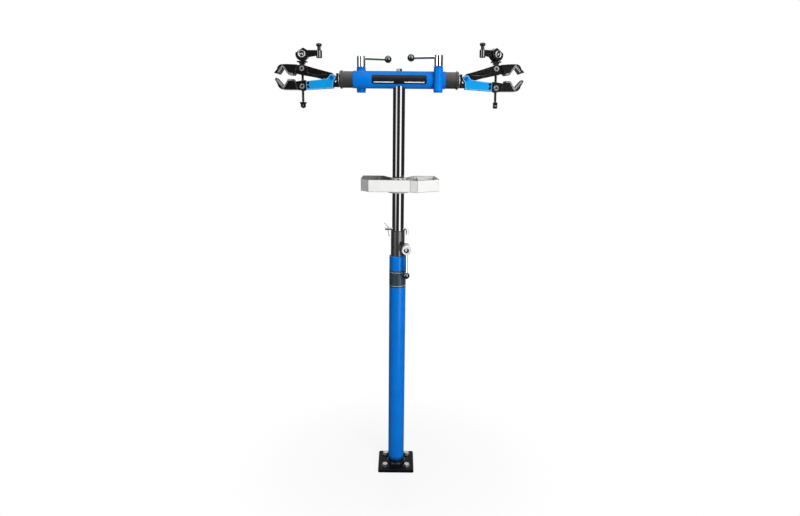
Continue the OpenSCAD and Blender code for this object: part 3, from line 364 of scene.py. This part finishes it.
def as_piece(bm, name, body, slot, replace=(), shade=None):
    """Makes an object of a bmesh, puts it on its body and gives it its slot's look or its own shade."""
    bmesh.ops.recalc_face_normals(bm, faces=bm.faces)
    for face in bm.faces:
        face.smooth = True
    mesh = bpy.data.meshes.new(name)
    bm.to_mesh(mesh)
    bm.free()
    mesh.set_sharp_from_angle(angle=SMOOTH_TO)
    piece = bpy.data.objects.new(name, mesh)
    scene.collection.objects.link(piece)
    mesh.materials.append((shade or looks[slot]).material)
    weighted = piece.modifiers.new("normals", "WEIGHTED_NORMAL")
    weighted.keep_sharp = True
    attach(piece, body)
    if replace:
        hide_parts(*replace)


def millimetres(bm):
    """Brings a bmesh built in mm to metres."""
    bmesh.ops.scale(bm, vec=(MM, MM, MM), verts=bm.verts)
    return bm


def box_mm(node):
    """A node's lowest and highest corner at rest, in mm."""
    return [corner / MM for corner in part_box(node)]


def joint_mm(name):
    """A joint's place in mm."""
    return Vector(joints[name]["pos_m"]) / MM


def pointing(place, axis):
    """A frame at a place with its Z along axis."""
    turn = Vector((0, 0, 1)).rotation_difference(Vector(axis)).to_matrix().to_4x4()
    return Matrix.Translation(place) @ turn


def corner_at(bm, place, r, angle, z):
    """Adds a corner at a radius, an angle and a height in a frame."""
    return bm.verts.new(place @ Vector((r * math.cos(angle), r * math.sin(angle), z)))


def span(bm, low, high):
    """Faces between two rings of corners; a ring of one corner is a point."""
    count = max(len(low), len(high))
    for i in range(count):
        quad = [ring[k % len(ring)] for ring, k in ((low, i), (low, i + 1), (high, i + 1), (high, i))]
        corners = list(dict.fromkeys(quad))
        if len(corners) > 2:
            bm.faces.new(corners)


def loft(bm, rings, closed=False):
    """Faces from ring to ring. Closed, the last joins the first; otherwise the ends get caps, returned."""
    for low, high in zip(rings, rings[1:]):
        span(bm, low, high)
    if closed:
        span(bm, rings[-1], rings[0])
        return []
    return [bm.faces.new(ring) for ring in (rings[0], rings[-1]) if len(ring) > 1]


def turned(bm, place, profile, steps):
    """Adds a closed body of revolution about place's Z; profile is (radius, height) in mm."""
    rings = []
    for r, z in profile:
        count = steps if r > 0 else 1
        rings.append([corner_at(bm, place, r, 2 * math.pi * i / steps, z) for i in range(count)])
    loft(bm, rings, closed=len(rings[0]) > 1 and len(rings[-1]) > 1)


def hex_head(bm, place, flats, height, steps=72):
    """Adds a bolt head on place's XY plane: a hexagon whose corners are cut by a cone."""
    plain, cuts = 0.62 * height, 6
    cone_top, cone_slope = 0.475 * flats, 1.75
    levels = [0.0] + [plain + (height - plain) * k / cuts for k in range(cuts + 1)]
    sector = math.pi / 3
    rings = []
    for z in levels:
        ring = []
        for i in range(steps):
            a = 2 * math.pi * i / steps
            side = flats / 2 / math.cos((a + sector / 2) % sector - sector / 2)
            ring.append(corner_at(bm, place, min(side, cone_top + (height - z) * cone_slope), a, z))
        rings.append(ring)
    loft(bm, rings)


def thread(bm, place, root, crest, pitch, low, high, steps=28):
    """Adds a right-hand thread round place's Z from low to high, which runs out at its ends."""
    # Each corner is a share of the ridge's height and of the pitch; the ridge's foot is sunk in the core
    section = [(0, -0.45), (1, -0.12), (1, 0.12), (0, 0.45)]
    foot, thinnest = root - 0.1, 0.03
    count = int((high - low - pitch) / pitch * steps)
    rows = []
    for i in range(count + 1):
        fade = max(thinnest, min(1.0, 2 * i / steps, 2 * (count - i) / steps))
        z = low + pitch * (0.5 + i / steps)
        rows.append([
            corner_at(bm, place, foot + k * fade * (crest - foot), 2 * math.pi * i / steps, z + h * pitch)
            for k, h in section
        ])
    loft(bm, rows)


def slab(bm, outline, half, middle=0.0):
    """Adds a plate: an outline in the XZ plane, half its thickness to each side of middle along Y."""
    rims = [[bm.verts.new((x, y, z)) for x, z in outline] for y in (middle - half, middle + half)]
    return loft(bm, rims)


def slotted(bm, place, radius, height, half_slot, steps=14):
    """Adds a screw head with a slot: two domed halves on place's XY plane and the slot's floor."""
    start = math.asin(half_slot / radius)
    angles = [start + (math.pi - 2 * start) * k / steps for k in range(steps + 1)]
    for half in (1, -1):
        rings = []
        for share, level in ((1.0, 0.0), (1.0, 0.7), (0.86, 1.0)):
            r = radius * share
            flat = [(half * r * math.cos(a), half * max(half_slot, r * math.sin(a))) for a in angles]
            rings.append([bm.verts.new(place @ Vector((x, y, height * level))) for x, y in flat])
        loft(bm, rings)
    inner, floor = radius * 0.97, height * 0.4
    turned(bm, place, [(0, 0), (inner, 0), (inner, floor), (0, floor)], 2 * steps)


# The solids, with their edges rounded by these widths in mm
EDGES = {
    "base_plate": 0.8, "clamp_sleeve": 0.9, "sleeve_bolts": 1.0, "tray": 0.9, "tray_collar": 0.8,
    "head_tube": 0.9, "lock_wedges": 0.8, "height_hub": 0.8, "pin_clip": 0.2, "lock_barrel": 0.8,
    "thrust_collar": 0.8, "clamp_shaft": 1.5, "jaw_arm": 1.3, "arm_fasteners": 0.9, "lower_jaw": 1.2,
    "upper_jaw": 1.8, "cam_lever": 3.6, "end_tab": 4.2, "saddle": 0.9, "knob": 0.8,
}
OTHER_EDGES = 0.5
# Kinds of node that get a mesh of their own further down
REBUILT = ("floor_bolts", "head_bolt", "screw", "lower_pad", "upper_pad")
# An edge sharper than this is rounded
SHARP = math.radians(28)
# A face whose normal has this much of a direction faces that way
FACING = 0.9


def node_mesh(node):
    """A node's surface with its flat faces whole again."""
    flat = math.radians(0.4)
    bm = bmesh.new()
    bm.from_mesh(nodes[node].data)
    # A sliver edge of a jaw would hold its whole rounding back
    near = 0.15 * MM if node.endswith("jaw") else 1e-6
    bmesh.ops.remove_doubles(bm, verts=bm.verts, dist=near)
    bmesh.ops.dissolve_limit(bm, angle_limit=flat, verts=bm.verts, edges=bm.edges)
    return bm


def mark_inside(bm):
    """Marks the faces that look into the hollow of a tray, where shade is painted."""
    layer = bm.faces.layers.float.new("inside")
    tree = BVHTree.FromBMesh(bm)
    below_rim = max(v.co.z for v in bm.verts) - 10 * MM
    clear, far = 0.5 * MM, 0.5
    for face in bm.faces:
        middle = face.calc_center_median()
        facing = tree.ray_cast(middle + face.normal * clear, face.normal, far)[0] is not None
        if facing or (face.normal.z > FACING and middle.z < below_rim):
            face[layer] = 1.0


def mark_sunk(bm):
    """Marks the front and rear faces that lie deeper than the outermost ones: sockets, where shade is painted."""
    layer = bm.faces.layers.float.new("inside")
    outermost = max(abs(v.co.y) for v in bm.verts) - 0.3 * MM
    for face in bm.faces:
        if abs(face.normal.y) > FACING and abs(face.calc_center_median().y) < outermost:
            face[layer] = 1.0


def rim_flanks(bm, layer):
    """Gives the two large flanks of an arm a pale rim: partly rubbed wear and partly a painted highlight along its
    edges.
    """
    square, large, width, wear_and_highlight = 0.99, 1e-4, 1.9 * MM, 0.75
    flanks = [f for f in bm.faces if abs(f.normal.y) > square and f.calc_area() > large]
    rims = bmesh.ops.inset_region(bm, faces=flanks, thickness=width, use_even_offset=True)
    for face in rims["faces"]:
        face[layer] = wear_and_highlight


def rounded(node, width, shade=None):
    """A node's shape with its edges rounded; stands for the node."""
    bm = node_mesh(node)
    layer = bm.faces.layers.float.new("edge")
    if node == "tray":
        mark_inside(bm)
    elif node.endswith("trunnion"):
        mark_sunk(bm)
    sharp = [e for e in bm.edges if len(e.link_faces) == 2 and e.calc_face_angle() > SHARP]
    crowded = node.endswith("lower_jaw")
    if crowded:
        # The rims of its bolt holes stay sharp: they lie under the arm, too close to its end to be rounded
        sharp = [e for e in sharp if e.calc_length() > 0.5 * MM]
    made = bmesh.ops.bevel(
        bm, geom=sharp, offset=width, segments=2, profile=0.5, affect="EDGES", clamp_overlap=not crowded
    )
    for face in made["faces"]:
        # A jaw gets the full pale rub on its upper edges, partly wear and partly a painted highlight where light
        # falls from above, and only a little on the others
        face[layer] = 1.0 if face.normal.z > 0.3 or not node.endswith("jaw") else 0.3
    if node.endswith("jaw_arm"):
        rim_flanks(bm, layer)
    as_piece(bm, node + "_dressed", bodies[node], slots[node], [node], shade)


for node in nodes:
    kind = node.removeprefix("left_").removeprefix("right_")
    if kind not in REBUILT:
        rounded(node, EDGES.get(kind, OTHER_EDGES) * MM, special.get(kind))


# Column: floor bolts, weld and decal band. From here to the stage, sizes are in mm
COLUMN_R = 30.15
BOLT_AT = 41.25
BOLT_FLATS = 19.0
BOLT_SHANK_R = 6.3
BOLT_ROOT_R = 5.3
BOLT_CREST_R = 5.98
BOLT_PITCH = 1.75
BAND_LOW = 723.0
BAND_HIGH = 786.0


def floor_bolts():
    """Four hexagon bolts, each turned another way, with threads in the floor."""
    foot, crown = (corner.z for corner in box_mm("floor_bolts"))
    seat = box_mm("floor_washers")[1].z
    thread_top = -1.0
    thread_foot = foot + 1
    bm = bmesh.new()
    for sx in (-1, 1):
        for sy in (-1, 1):
            at = Matrix.Translation((sx * BOLT_AT, sy * BOLT_AT, 0))
            turn = Matrix.Rotation(0.3 * sx + 0.5 * sy, 4, "Z")
            hex_head(bm, at @ Matrix.Translation((0, 0, seat)) @ turn, BOLT_FLATS, crown - seat)
            turned(bm, at, [
                (0, seat), (BOLT_SHANK_R, seat), (BOLT_SHANK_R, 0), (BOLT_ROOT_R, thread_top),
                (BOLT_ROOT_R, thread_foot), (BOLT_ROOT_R - 0.8, foot), (0, foot),
            ], 32)
            thread(bm, at, BOLT_ROOT_R, BOLT_CREST_R, BOLT_PITCH, thread_foot, thread_top, 24)
    as_piece(millimetres(bm), "floor_bolts_dressed", "column", "zinc_steel", ["floor_bolts"], bolt_zinc)


def weld_bead():
    """A bead between the plate and the column, laid in ripples."""
    steps, sides, per_ripple = 240, 12, 5
    thin, ripple, offset = 3.7, 0.35, 2.2
    middle_r = COLUMN_R + offset
    middle_z = box_mm("base_plate")[1].z + offset
    turns = [2 * math.pi * k / sides for k in range(sides)]
    bm = bmesh.new()
    rings = []
    for i in range(steps):
        a = 2 * math.pi * i / steps
        r = thin + ripple * (i % per_ripple) / per_ripple
        rings.append([
            corner_at(bm, Matrix(), middle_r + r * math.cos(b), a, middle_z + r * math.sin(b)) for b in turns
        ])
    loft(bm, rings, closed=True)
    as_piece(millimetres(bm), "weld_bead", "column", "black_paint", shade=weld_gloss)


def band_shade():
    """Dark band with a thin pale line near each rim."""
    inset, line, soft = 6.0 * MM, 1.2 * MM, 0.1 * MM
    low, high = BAND_LOW * MM + inset, BAND_HIGH * MM - inset
    s = Shade("decal_band", Roughness=0.3, Specular_IOR_Level=0.3)
    height = s.axis("Z")
    lines = s.math(
        "MAXIMUM", s.between(height, low, low + line, soft), s.between(height, high - line, high, soft)
    )
    ink = s.cloudy(30, (0.020, 0.038, 0.050), (0.032, 0.056, 0.072), detail=3)
    s.set("Base Color", s.blend(lines, ink, (0.55, 0.58, 0.60)))
    s.bump(s.noise(500, 2), 0.04, 0.3)
    return s


def decal_band():
    """A plain printed film round the column, with softened rims."""
    inner, shoulder, outer, soft = COLUMN_R - 0.05, COLUMN_R + 0.15, COLUMN_R + 0.2, 0.2
    bm = bmesh.new()
    turned(bm, Matrix(), [
        (inner, BAND_LOW), (shoulder, BAND_LOW), (outer, BAND_LOW + soft),
        (outer, BAND_HIGH - soft), (shoulder, BAND_HIGH), (inner, BAND_HIGH),
    ], 96)
    as_piece(millimetres(bm), "decal_band", "column", "black_paint", shade=band_shade())


floor_bolts()
weld_bead()
decal_band()


# Height lever: a dark ring of painted shade round the pin
def hub_shade_ring():
    """A black ring on the hub's face, shaped as a spring ring with thicker ends, open towards the rod: painted
    shade round the pin.
    """
    radius, slim, thick, steps = 6.7, 2.2, 2.7, 40
    gap = math.radians(70)
    sunk, shoulder, crown, flat = -0.4, 0.5, 0.9, 0.2
    low, high = box_mm("height_hub")
    middle = (low + high) / 2
    face = pointing((middle.x, low.y, middle.z), (0, -1, 0))
    bm = bmesh.new()
    rings = []
    for k in range(steps + 1):
        wide = slim if 1 < k < steps - 1 else thick
        inner, outer = radius - wide, radius + wide
        crown_inner, crown_outer = radius - flat - wide / 2, radius + flat + wide / 2
        section = [
            (inner, sunk), (inner, shoulder), (crown_inner, crown),
            (crown_outer, crown), (outer, shoulder), (outer, sunk),
        ]
        a = gap / 2 - math.pi / 2 + (2 * math.pi - gap) * k / steps
        rings.append([corner_at(bm, face, r, -a, z) for r, z in section])
    loft(bm, rings)
    as_piece(millimetres(bm), "hub_shade_ring", "height_lever", "dark_steel", shade=ring_painted_shade)


hub_shade_ring()

# Cross tube: bolt on top and label
HEAD_Z = joints["left_clamp_turn"]["pos_m"][2] / MM
HEAD_R = 29.0
LABEL_HALF_LONG = 93.0
LABEL_HALF_HIGH = 15.5
LABEL_CORNER = 7.0
LABEL_R = HEAD_R + 0.12
LABEL_FILM = 0.3


def head_bolt():
    """The hexagon bolt that goes down through the cross tube."""
    shank_r, tip_r, length, turn = 5.9, 5.0, 99, 0.26
    low, high = box_mm("head_bolt")
    seat = HEAD_Z + HEAD_R
    top = Matrix.Translation((0, 0, seat))
    bm = bmesh.new()
    hex_head(bm, top @ Matrix.Rotation(turn, 4, "Z"), high.y - low.y, high.z - seat)
    turned(bm, top, [(shank_r, 0.5), (shank_r, 1 - length), (tip_r, -length), (0, -length)], 32)
    as_piece(millimetres(bm), "head_bolt_dressed", "mast", "zinc_steel", ["head_bolt"], bolt_zinc)


def label_shade():
    """Black label with a thin pale line left and right of its middle."""
    line_down, half_line, soft = 8.7, 1.4 * MM, 0.3 * MM
    line_from, line_to, end_soft = 18.0 * MM, 85.5 * MM, 0.1 * MM
    s = Shade("label", Roughness=0.3, Specular_IOR_Level=0.3)
    level = (HEAD_Z - line_down) * MM
    line = s.between(s.axis("Z"), level - half_line, level + half_line, soft)
    from_middle = s.math("ABSOLUTE", s.axis("X"))
    line = s.math("MULTIPLY", line, s.between(from_middle, line_from, line_to, end_soft))
    ink = s.cloudy(40, (0.004, 0.005, 0.007), (0.008, 0.010, 0.013), detail=3)
    s.set("Base Color", s.blend(line, ink, (0.78, 0.80, 0.82)))
    s.bump(s.noise(600, 2), 0.03, 0.25)
    return s


def head_label():
    """A plain film with round corners, bent round the front of the cross tube."""
    rows, arc = 12, 8
    bows = [LABEL_CORNER * (1 - math.cos(math.pi / 2 * k / arc)) for k in range(arc + 1)]
    stops = [x - LABEL_HALF_LONG for x in bows] + [LABEL_HALF_LONG - x for x in reversed(bows)]
    bm = bmesh.new()
    rims = []
    for radius in (LABEL_R, LABEL_R - LABEL_FILM):
        columns = []
        for x in stops:
            reach = max(0.0, abs(x) - (LABEL_HALF_LONG - LABEL_CORNER))
            bow = math.sqrt(max(0.0, LABEL_CORNER**2 - reach**2))
            high = (LABEL_HALF_HIGH - LABEL_CORNER + bow) / LABEL_R
            angles = [high * (2 * k / rows - 1) for k in range(rows + 1)]
            columns.append([
                bm.verts.new((x, -radius * math.cos(a), HEAD_Z + radius * math.sin(a))) for a in angles
            ])
        for column, after in zip(columns, columns[1:]):
            for k in range(rows):
                bm.faces.new([column[k], column[k + 1], after[k + 1], after[k]])
        foot, crown = [c[0] for c in columns], [c[-1] for c in reversed(columns)]
        rims.append(foot + columns[-1][1:-1] + crown + columns[0][-2:0:-1])
    span(bm, *rims)
    as_piece(millimetres(bm), "head_label", "mast", "black_paint", shade=label_shade())


head_bolt()
head_label()

# Clamps: pads, ribs, screws, cam bosses, washers and caps
# The V of the lower jaw lies this far out from its trunnion
GRIP = 61.5
# The path of each jaw's grip from its tip inwards: how far out from the trunnion, and how far above it
GRIPS = {
    "lower": [(GRIP + 24, 27), (GRIP, 0), (GRIP - 15, 23.5), (GRIP - 33, 23.5)],
    "upper": [(GRIP + 17, -19.5), (GRIP + 1, 2), (GRIP - 16, -20.5), (GRIP - 35, -22.5)],
}
PAD = 4.0
PAD_HALF = 26.0
PAD_EDGE = 0.45
TOOTH_PITCH = 3.4
TOOTH_DEPTH = 0.9
# Where each rib starts and ends, measured from the grip's path into the jaw
RIBS = ((0.6, 2.6), (4.8, 5.8))
RIB_HALF = 0.8
SCREW_R = 4.5
SCREW_ROOT_R = 3.6
SCREW_LEAD = 3.0
CAM_R = 21.0
CAM_GAP = 0.3
CAM_FACE = 12.0
SADDLE = 10.0
# Radius and height over the cam's face: a recess over the lever pin, a round rim and a button in its middle
CAM_BOSS = [
    (0, 0.2), (3.2, 0.2), (3.2, -0.4), (13.5, -0.4), (13.5, 0.4), (13.1, 1.5), (12.1, 2.3), (10.8, 2.6),
    (9.4, 2.3), (8.3, 1.5), (7.6, 1.0), (4.6, 1.0), (4.4, 1.8), (3.6, 2.4), (2.2, 2.7), (0, 2.8),
]
COLLAR_CAP = [(0, 0), (3.2, 0), (3.2, 2.5), (2.8, 3.0), (1.7, 3.0), (1.7, 1.4), (0, 1.4)]


def beside(path, t):
    """An open path moved by t to its left, with mitred corners."""
    moved = []
    for i, p in enumerate(path):
        before = (p - path[i - 1]).normalized() if i else (path[1] - p).normalized()
        after = (path[i + 1] - p).normalized() if i < len(path) - 1 else before
        left = Vector((-before.y - after.y, before.x + after.x))
        moved.append(p + left * t / (1 + before.dot(after)))
    return moved


def ribbon(path, inner, outer):
    """The strip between two copies of a path; it starts clear of the jaw's tip and ends short of its root."""
    short = [path[0].lerp(path[1], 0.2), *path[1:-1], path[-2].lerp(path[-1], 0.86)]
    rims = [beside(short, t) for t in (inner, outer)]
    return rims[0] + list(reversed(rims[1]))


def serrated(path, pitch, depth):
    """A path with saw teeth cut into its left side along its runs."""
    groove_from, groove_to = 0.62, 0.80
    points = []
    for p, q in zip(path, path[1:]):
        run = q - p
        left = Vector((-run.y, run.x)).normalized()
        count = max(1, round(run.length / pitch))
        for k in range(count):
            points.append(p + run * (k / count))
            if count > 1:
                points.append(p + run * ((k + groove_from) / count) + left * depth)
                points.append(p + run * ((k + groove_to) / count) + left * depth)
    return points + [path[-1]]


def link_angle(side, jaw):
    """How steeply a jaw's trunnion stands off level, seen from the jaw pivot."""
    reach = joint_mm(f"{side}_{jaw}_trunnion_turn") - joint_mm(f"{side}_jaw_open")
    return math.atan2(abs(reach.z), abs(reach.x))


def jaw_trim(side, sign, jaw):
    """One jaw's pad with saw teeth, and the ribs on its flanks."""
    flip = 1 if jaw == "lower" else -1
    body = f"{side}_clamp" if jaw == "lower" else f"{side}_upper_jaw"
    turn = 0.0 if jaw == "lower" else link_angle(side, "upper") - link_angle(side, "lower")
    root = joint_mm(f"{side}_{jaw}_trunnion_turn")
    path = [Vector(p) for p in GRIPS[jaw]]

    def placed(p):
        """A point of the jaw's own plane in the stand's XZ plane."""
        u = p.x * math.cos(turn) - p.y * math.sin(turn)
        v = p.x * math.sin(turn) + p.y * math.cos(turn)
        return (root.x + sign * u, root.z + v)

    outline = serrated(path, TOOTH_PITCH, TOOTH_DEPTH * flip) + list(reversed(beside(path, PAD * flip)))
    bm = bmesh.new()
    caps = slab(bm, [placed(p) for p in outline], PAD_HALF)
    rim = list({e for f in caps for e in f.edges})
    bmesh.ops.bevel(
        bm, geom=rim, offset=PAD_EDGE, segments=2, profile=0.5, affect="EDGES", clamp_overlap=True
    )
    as_piece(millimetres(bm), f"{side}_{jaw}_pad_dressed", body, "pad_rubber", [f"{side}_{jaw}_pad"])

    bm = bmesh.new()
    for inner, outer in RIBS:
        strip = [placed(p) for p in ribbon(path, inner * flip, outer * flip)]
        for face in (-1, 1):
            slab(bm, strip, RIB_HALF, face * (PAD_HALF + RIB_HALF))
    as_piece(millimetres(bm), f"{side}_{jaw}_ribs", body, "pad_rubber", shade=rib_grey)


def clamp_screw(side):
    """The screw: threaded from the end tab to under the saddle, and plain up to the lever pin."""
    in_tab, above_pin, below_saddle, run_out = 8.9, 5.4, 2.0, 1.5
    foot = joint_mm(f"{side}_screw_spin")
    axis = Vector(joints[f"{side}_screw_spin"]["axis"])
    place = pointing(foot, axis)
    tab = box_mm(f"{side}_end_tab")[1].z - foot.z
    pin = (joint_mm(f"{side}_cam_flip") - foot).dot(axis)
    stop = pin - CAM_R - CAM_GAP - SADDLE - below_saddle
    tip, head = tab - in_tab, pin + above_pin
    plain_r = SCREW_R - 0.1
    bm = bmesh.new()
    turned(bm, place, [
        (0, tip), (SCREW_ROOT_R - 0.4, tip), (SCREW_ROOT_R, tip + 0.7), (SCREW_ROOT_R, stop),
        (plain_r, stop + run_out), (plain_r, head - 0.8), (SCREW_R - 1, head), (0, head),
    ], 32)
    thread(bm, place, SCREW_ROOT_R, SCREW_R - 0.04, SCREW_LEAD, tab, stop + 1)
    as_piece(millimetres(bm), f"{side}_screw_dressed", f"{side}_screw", "screw_black", [f"{side}_screw"])


def tab_screw(side):
    """A slotted screw head on both faces of the end tab, and a cross pin along its wide way."""
    down, head_r, head, half_slot, sunk, turn = 12.0, 3.2, 1.3, 0.6, 0.3, 0.9
    pin_r, pin_half, chamfer = 3.0, 8.9, 0.5
    low, high = box_mm(f"{side}_end_tab")
    middle = (low + high) / 2
    middle.z = high.z - down
    half = (high - low) / 2
    thin, wide = Vector((1, 0, 0)), Vector((0, 1, 0))
    if half.y < half.x:
        thin, wide = wide, thin
    bm = bmesh.new()
    for face in (-1, 1):
        at = pointing(middle + thin * face * (min(half.x, half.y) - sunk), thin * face)
        slotted(bm, at @ Matrix.Rotation(turn, 4, "Z"), head_r, head, half_slot)
    ends = [(0, -pin_half), (pin_r - 0.6, -pin_half), (pin_r, chamfer - pin_half)]
    turned(bm, pointing(middle, wide), ends + [(r, -z) for r, z in reversed(ends)], 24)
    as_piece(millimetres(bm), f"{side}_tab_screw", f"{side}_screw", "zinc_steel")


def cam_boss(side):
    """A turned boss on both faces of the cam."""
    axis = Vector(joints[f"{side}_cam_flip"]["axis"])
    bm = bmesh.new()
    for face in (-1, 1):
        at = pointing(joint_mm(f"{side}_cam_flip") + axis * face * CAM_FACE, axis * face)
        turned(bm, at, CAM_BOSS, 64)
    as_piece(millimetres(bm), f"{side}_cam_boss", f"{side}_cam_lever", "jaw_black", shade=boss_nickel)


def neck_trim(side, sign):
    """A washer on the neck, pale as a painted highlight, and a ring of small caps on the thrust collar's face."""
    washer_in, washer_out, washer_off, washer_thick, chamfer = 16.1, 20.1, 3.4, 3.7, 0.5
    caps, cap_circle, cap_sunk = 8, 25, 0.1
    collar_end = max(abs(corner.x) for corner in box_mm(f"{side}_thrust_collar"))
    washer_low = collar_end + washer_off
    washer_high = washer_low + washer_thick
    out = pointing((0, 0, HEAD_Z), (sign, 0, 0))
    bm = bmesh.new()
    turned(bm, out, [
        (washer_in, washer_low), (washer_out - chamfer, washer_low), (washer_out, washer_low + chamfer),
        (washer_out, washer_high - chamfer), (washer_out - chamfer, washer_high), (washer_in, washer_high),
    ], 64)
    as_piece(millimetres(bm), f"{side}_neck_washer", f"{side}_clamp", "zinc_steel", shade=washer_painted_highlight)
    bm = bmesh.new()
    for k in range(caps):
        a = 2 * math.pi * (k + 0.5) / caps
        seat = (cap_circle * math.cos(a), cap_circle * math.sin(a), collar_end - cap_sunk)
        turned(bm, out @ Matrix.Translation(seat), COLLAR_CAP, 18)
    as_piece(millimetres(bm), f"{side}_collar_caps", f"{side}_clamp", "dark_steel")


for side, sign in SIDES.items():
    for jaw in GRIPS:
        jaw_trim(side, sign, jaw)
    clamp_screw(side)
    tab_screw(side)
    cam_boss(side)
    neck_trim(side, sign)


# Stage: places in metres, bearings in radians, the camera's lens and sensor in mm
LAMP_AWAY = 2.6
# From bearing, to bearing, slope of the foot, strength: two in front and two weak ones behind
SOFTBOXES = (
    (0.34, 0.92, -0.2, 4.6), (-1.02, -0.60, -0.04, 3.4), (2.62, 3.0, -0.2, 0.9), (-3.0, -2.75, -0.2, 0.7)
)
SOFTBOX_EDGE = 0.03
SOFTBOX_FADE = 0.24
SOFTBOX_TOP = (0.55, 0.75)
ROOM_DARK = 0.05
MATT_LIGHT = 0.17
FLOOR_HALF = 12
FLOOR_PALE = (0.86, 0.86, 0.86, 1)
WHITE = (1, 1, 1, 1)
CAMERA_AT = (0.0085, -2.139, 1.3227)
CAMERA_TILT = math.radians(77.0)
CAMERA_ROLL = math.radians(0.55)
CAMERA_LENS = 27.18
CAMERA_SENSOR = 36.0


def around(azimuth, height):
    """A lamp's place round the mast; azimuth 0 is the front, positive to the right."""
    a = math.radians(azimuth)
    return (LAMP_AWAY * math.sin(a), -LAMP_AWAY * math.cos(a), height)


def add_lamp(name, place, target, size, power, spread=180):
    """A soft lamp that polished surfaces don't mirror: they see the world's softboxes."""
    data = bpy.data.lights.new(name, "AREA")
    data.shape = "RECTANGLE"
    data.size, data.size_y = size
    data.energy = power
    data.spread = math.radians(spread)
    lamp = bpy.data.objects.new(name, data)
    lamp.location = place
    lamp.rotation_euler = (Vector(target) - Vector(place)).to_track_quat("-Z", "Y").to_euler()
    lamp.visible_glossy = False
    scene.collection.objects.link(lamp)


def studio_world():
    """White for the camera, dim for matt surfaces; polished ones see a dark room with bright fields."""
    world = bpy.data.worlds.new("studio")
    scene.world = world
    world.use_nodes = True
    w = Tree(world.node_tree)
    rays = w.add("ShaderNodeLightPath").outputs
    x, y, slope = w.split(w.add("ShaderNodeTexCoord").outputs["Generated"])
    bearing = w.math("ARCTAN2", x, w.math("MULTIPLY", y, -1.0))

    def softbox(low, high, foot, strength):
        """A tall lamp between two bearings; it fades out below the slope foot."""
        rise = w.ease(bearing, low - SOFTBOX_EDGE, low + SOFTBOX_EDGE)
        fall = w.ease(bearing, high - SOFTBOX_EDGE, high + SOFTBOX_EDGE, 1.0, 0.0)
        bottom = w.ease(slope, foot - SOFTBOX_FADE, foot)
        top = w.ease(slope, *SOFTBOX_TOP, 1.0, 0.0)
        tall = w.math("MULTIPLY", w.math("MULTIPLY", bottom, top), strength)
        return w.math("MULTIPLY", w.math("MULTIPLY", rise, fall), tall)

    # The fields fade over a stretch of y, which is 1 straight behind, and of slope, which is 1 straight up
    rear_wall = w.math("MULTIPLY", w.ease(y, 0.45, 0.65), w.ease(slope, 0.14, 0.34))
    ahead = w.ease(y, -0.30, 0.05, 1.0, 0.0)
    canopy = w.math("MULTIPLY", w.ease(slope, 0.36, 0.48, 0.0, 1.3), ahead)
    ceiling = w.ease(slope, 0.80, 0.97, 0.0, 2.2)
    room = ROOM_DARK
    for field in (rear_wall, canopy, ceiling):
        room = w.math("MAXIMUM", field, room)
    for box in SOFTBOXES:
        room = w.math("ADD", room, softbox(*box))
    polished = w.math("MAXIMUM", rays["Is Glossy Ray"], rays["Is Transmission Ray"])
    level = w.choose(rays["Is Camera Ray"], w.choose(polished, MATT_LIGHT, room), 1.0)
    background = w.tree.nodes["Background"]
    background.inputs["Color"].default_value = WHITE
    w.link(level, background.inputs["Strength"])


def floor_material():
    """White for the camera, but for a part of the shadow near the object, and pale for all other rays."""
    shadow_from, shadow_to, least_white = 0.15, 0.7, 0.86
    pale = bpy.data.materials.new("floor_white")
    pale.use_nodes = True
    f = Tree(pale.node_tree)
    matt = f.add("ShaderNodeBsdfDiffuse")
    matt.inputs["Color"].default_value = FLOOR_PALE
    glow = f.add("ShaderNodeEmission")
    glow.inputs["Color"].default_value = WHITE
    away = f.add("ShaderNodeVectorMath", operation="LENGTH")
    f.link(f.add("ShaderNodeTexCoord").outputs["Object"], away.inputs[0])
    whiteness = f.ease(away.outputs["Value"], shadow_from, shadow_to, least_white, 1.0)
    seen = f.add("ShaderNodeLightPath").outputs["Is Camera Ray"]
    both = f.add("ShaderNodeMixShader")
    f.link(f.math("MULTIPLY", seen, whiteness), both.inputs["Fac"])
    f.link(matt.outputs["BSDF"], both.inputs[1])
    f.link(glow.outputs["Emission"], both.inputs[2])
    f.link(both.outputs["Shader"], f.tree.nodes["Material Output"].inputs["Surface"])
    return pale


def add_floor():
    """The plain floor, which polished surfaces don't mirror."""
    bm = bmesh.new()
    bmesh.ops.create_grid(bm, x_segments=1, y_segments=1, size=FLOOR_HALF)
    mesh = bpy.data.meshes.new("floor")
    bm.to_mesh(mesh)
    bm.free()
    mesh.materials.append(floor_material())
    floor = bpy.data.objects.new("floor", mesh)
    floor.visible_glossy = False
    scene.collection.objects.link(floor)


def add_camera():
    """The camera at the photograph's viewing angle."""
    data = bpy.data.cameras.new("camera")
    data.sensor_width = CAMERA_SENSOR
    data.lens = CAMERA_LENS
    camera = bpy.data.objects.new("camera", data)
    camera.matrix_world = (
        Matrix.Translation(CAMERA_AT)
        @ Matrix.Rotation(CAMERA_TILT, 4, "X")
        @ Matrix.Rotation(CAMERA_ROLL, 4, "Z")
    )
    scene.collection.objects.link(camera)
    scene.camera = camera


scene.view_settings.view_transform = "Standard"
add_lamp("key_right", around(28, 1.75), (0, 0, 1.35), (1.4, 2.2), 33, spread=110)
add_lamp("fill_left", around(-48, 1.6), (0, 0, 1.0), (0.9, 2.2), 5)
add_lamp("top", (0, -0.5, 3.4), (0, 0, 0.8), (2.4, 1.8), 16)
add_lamp("rear", around(180, 1.75), (0, 0, 1.0), (1.2, 2.2), 28)
studio_world()
add_floor()
add_camera()
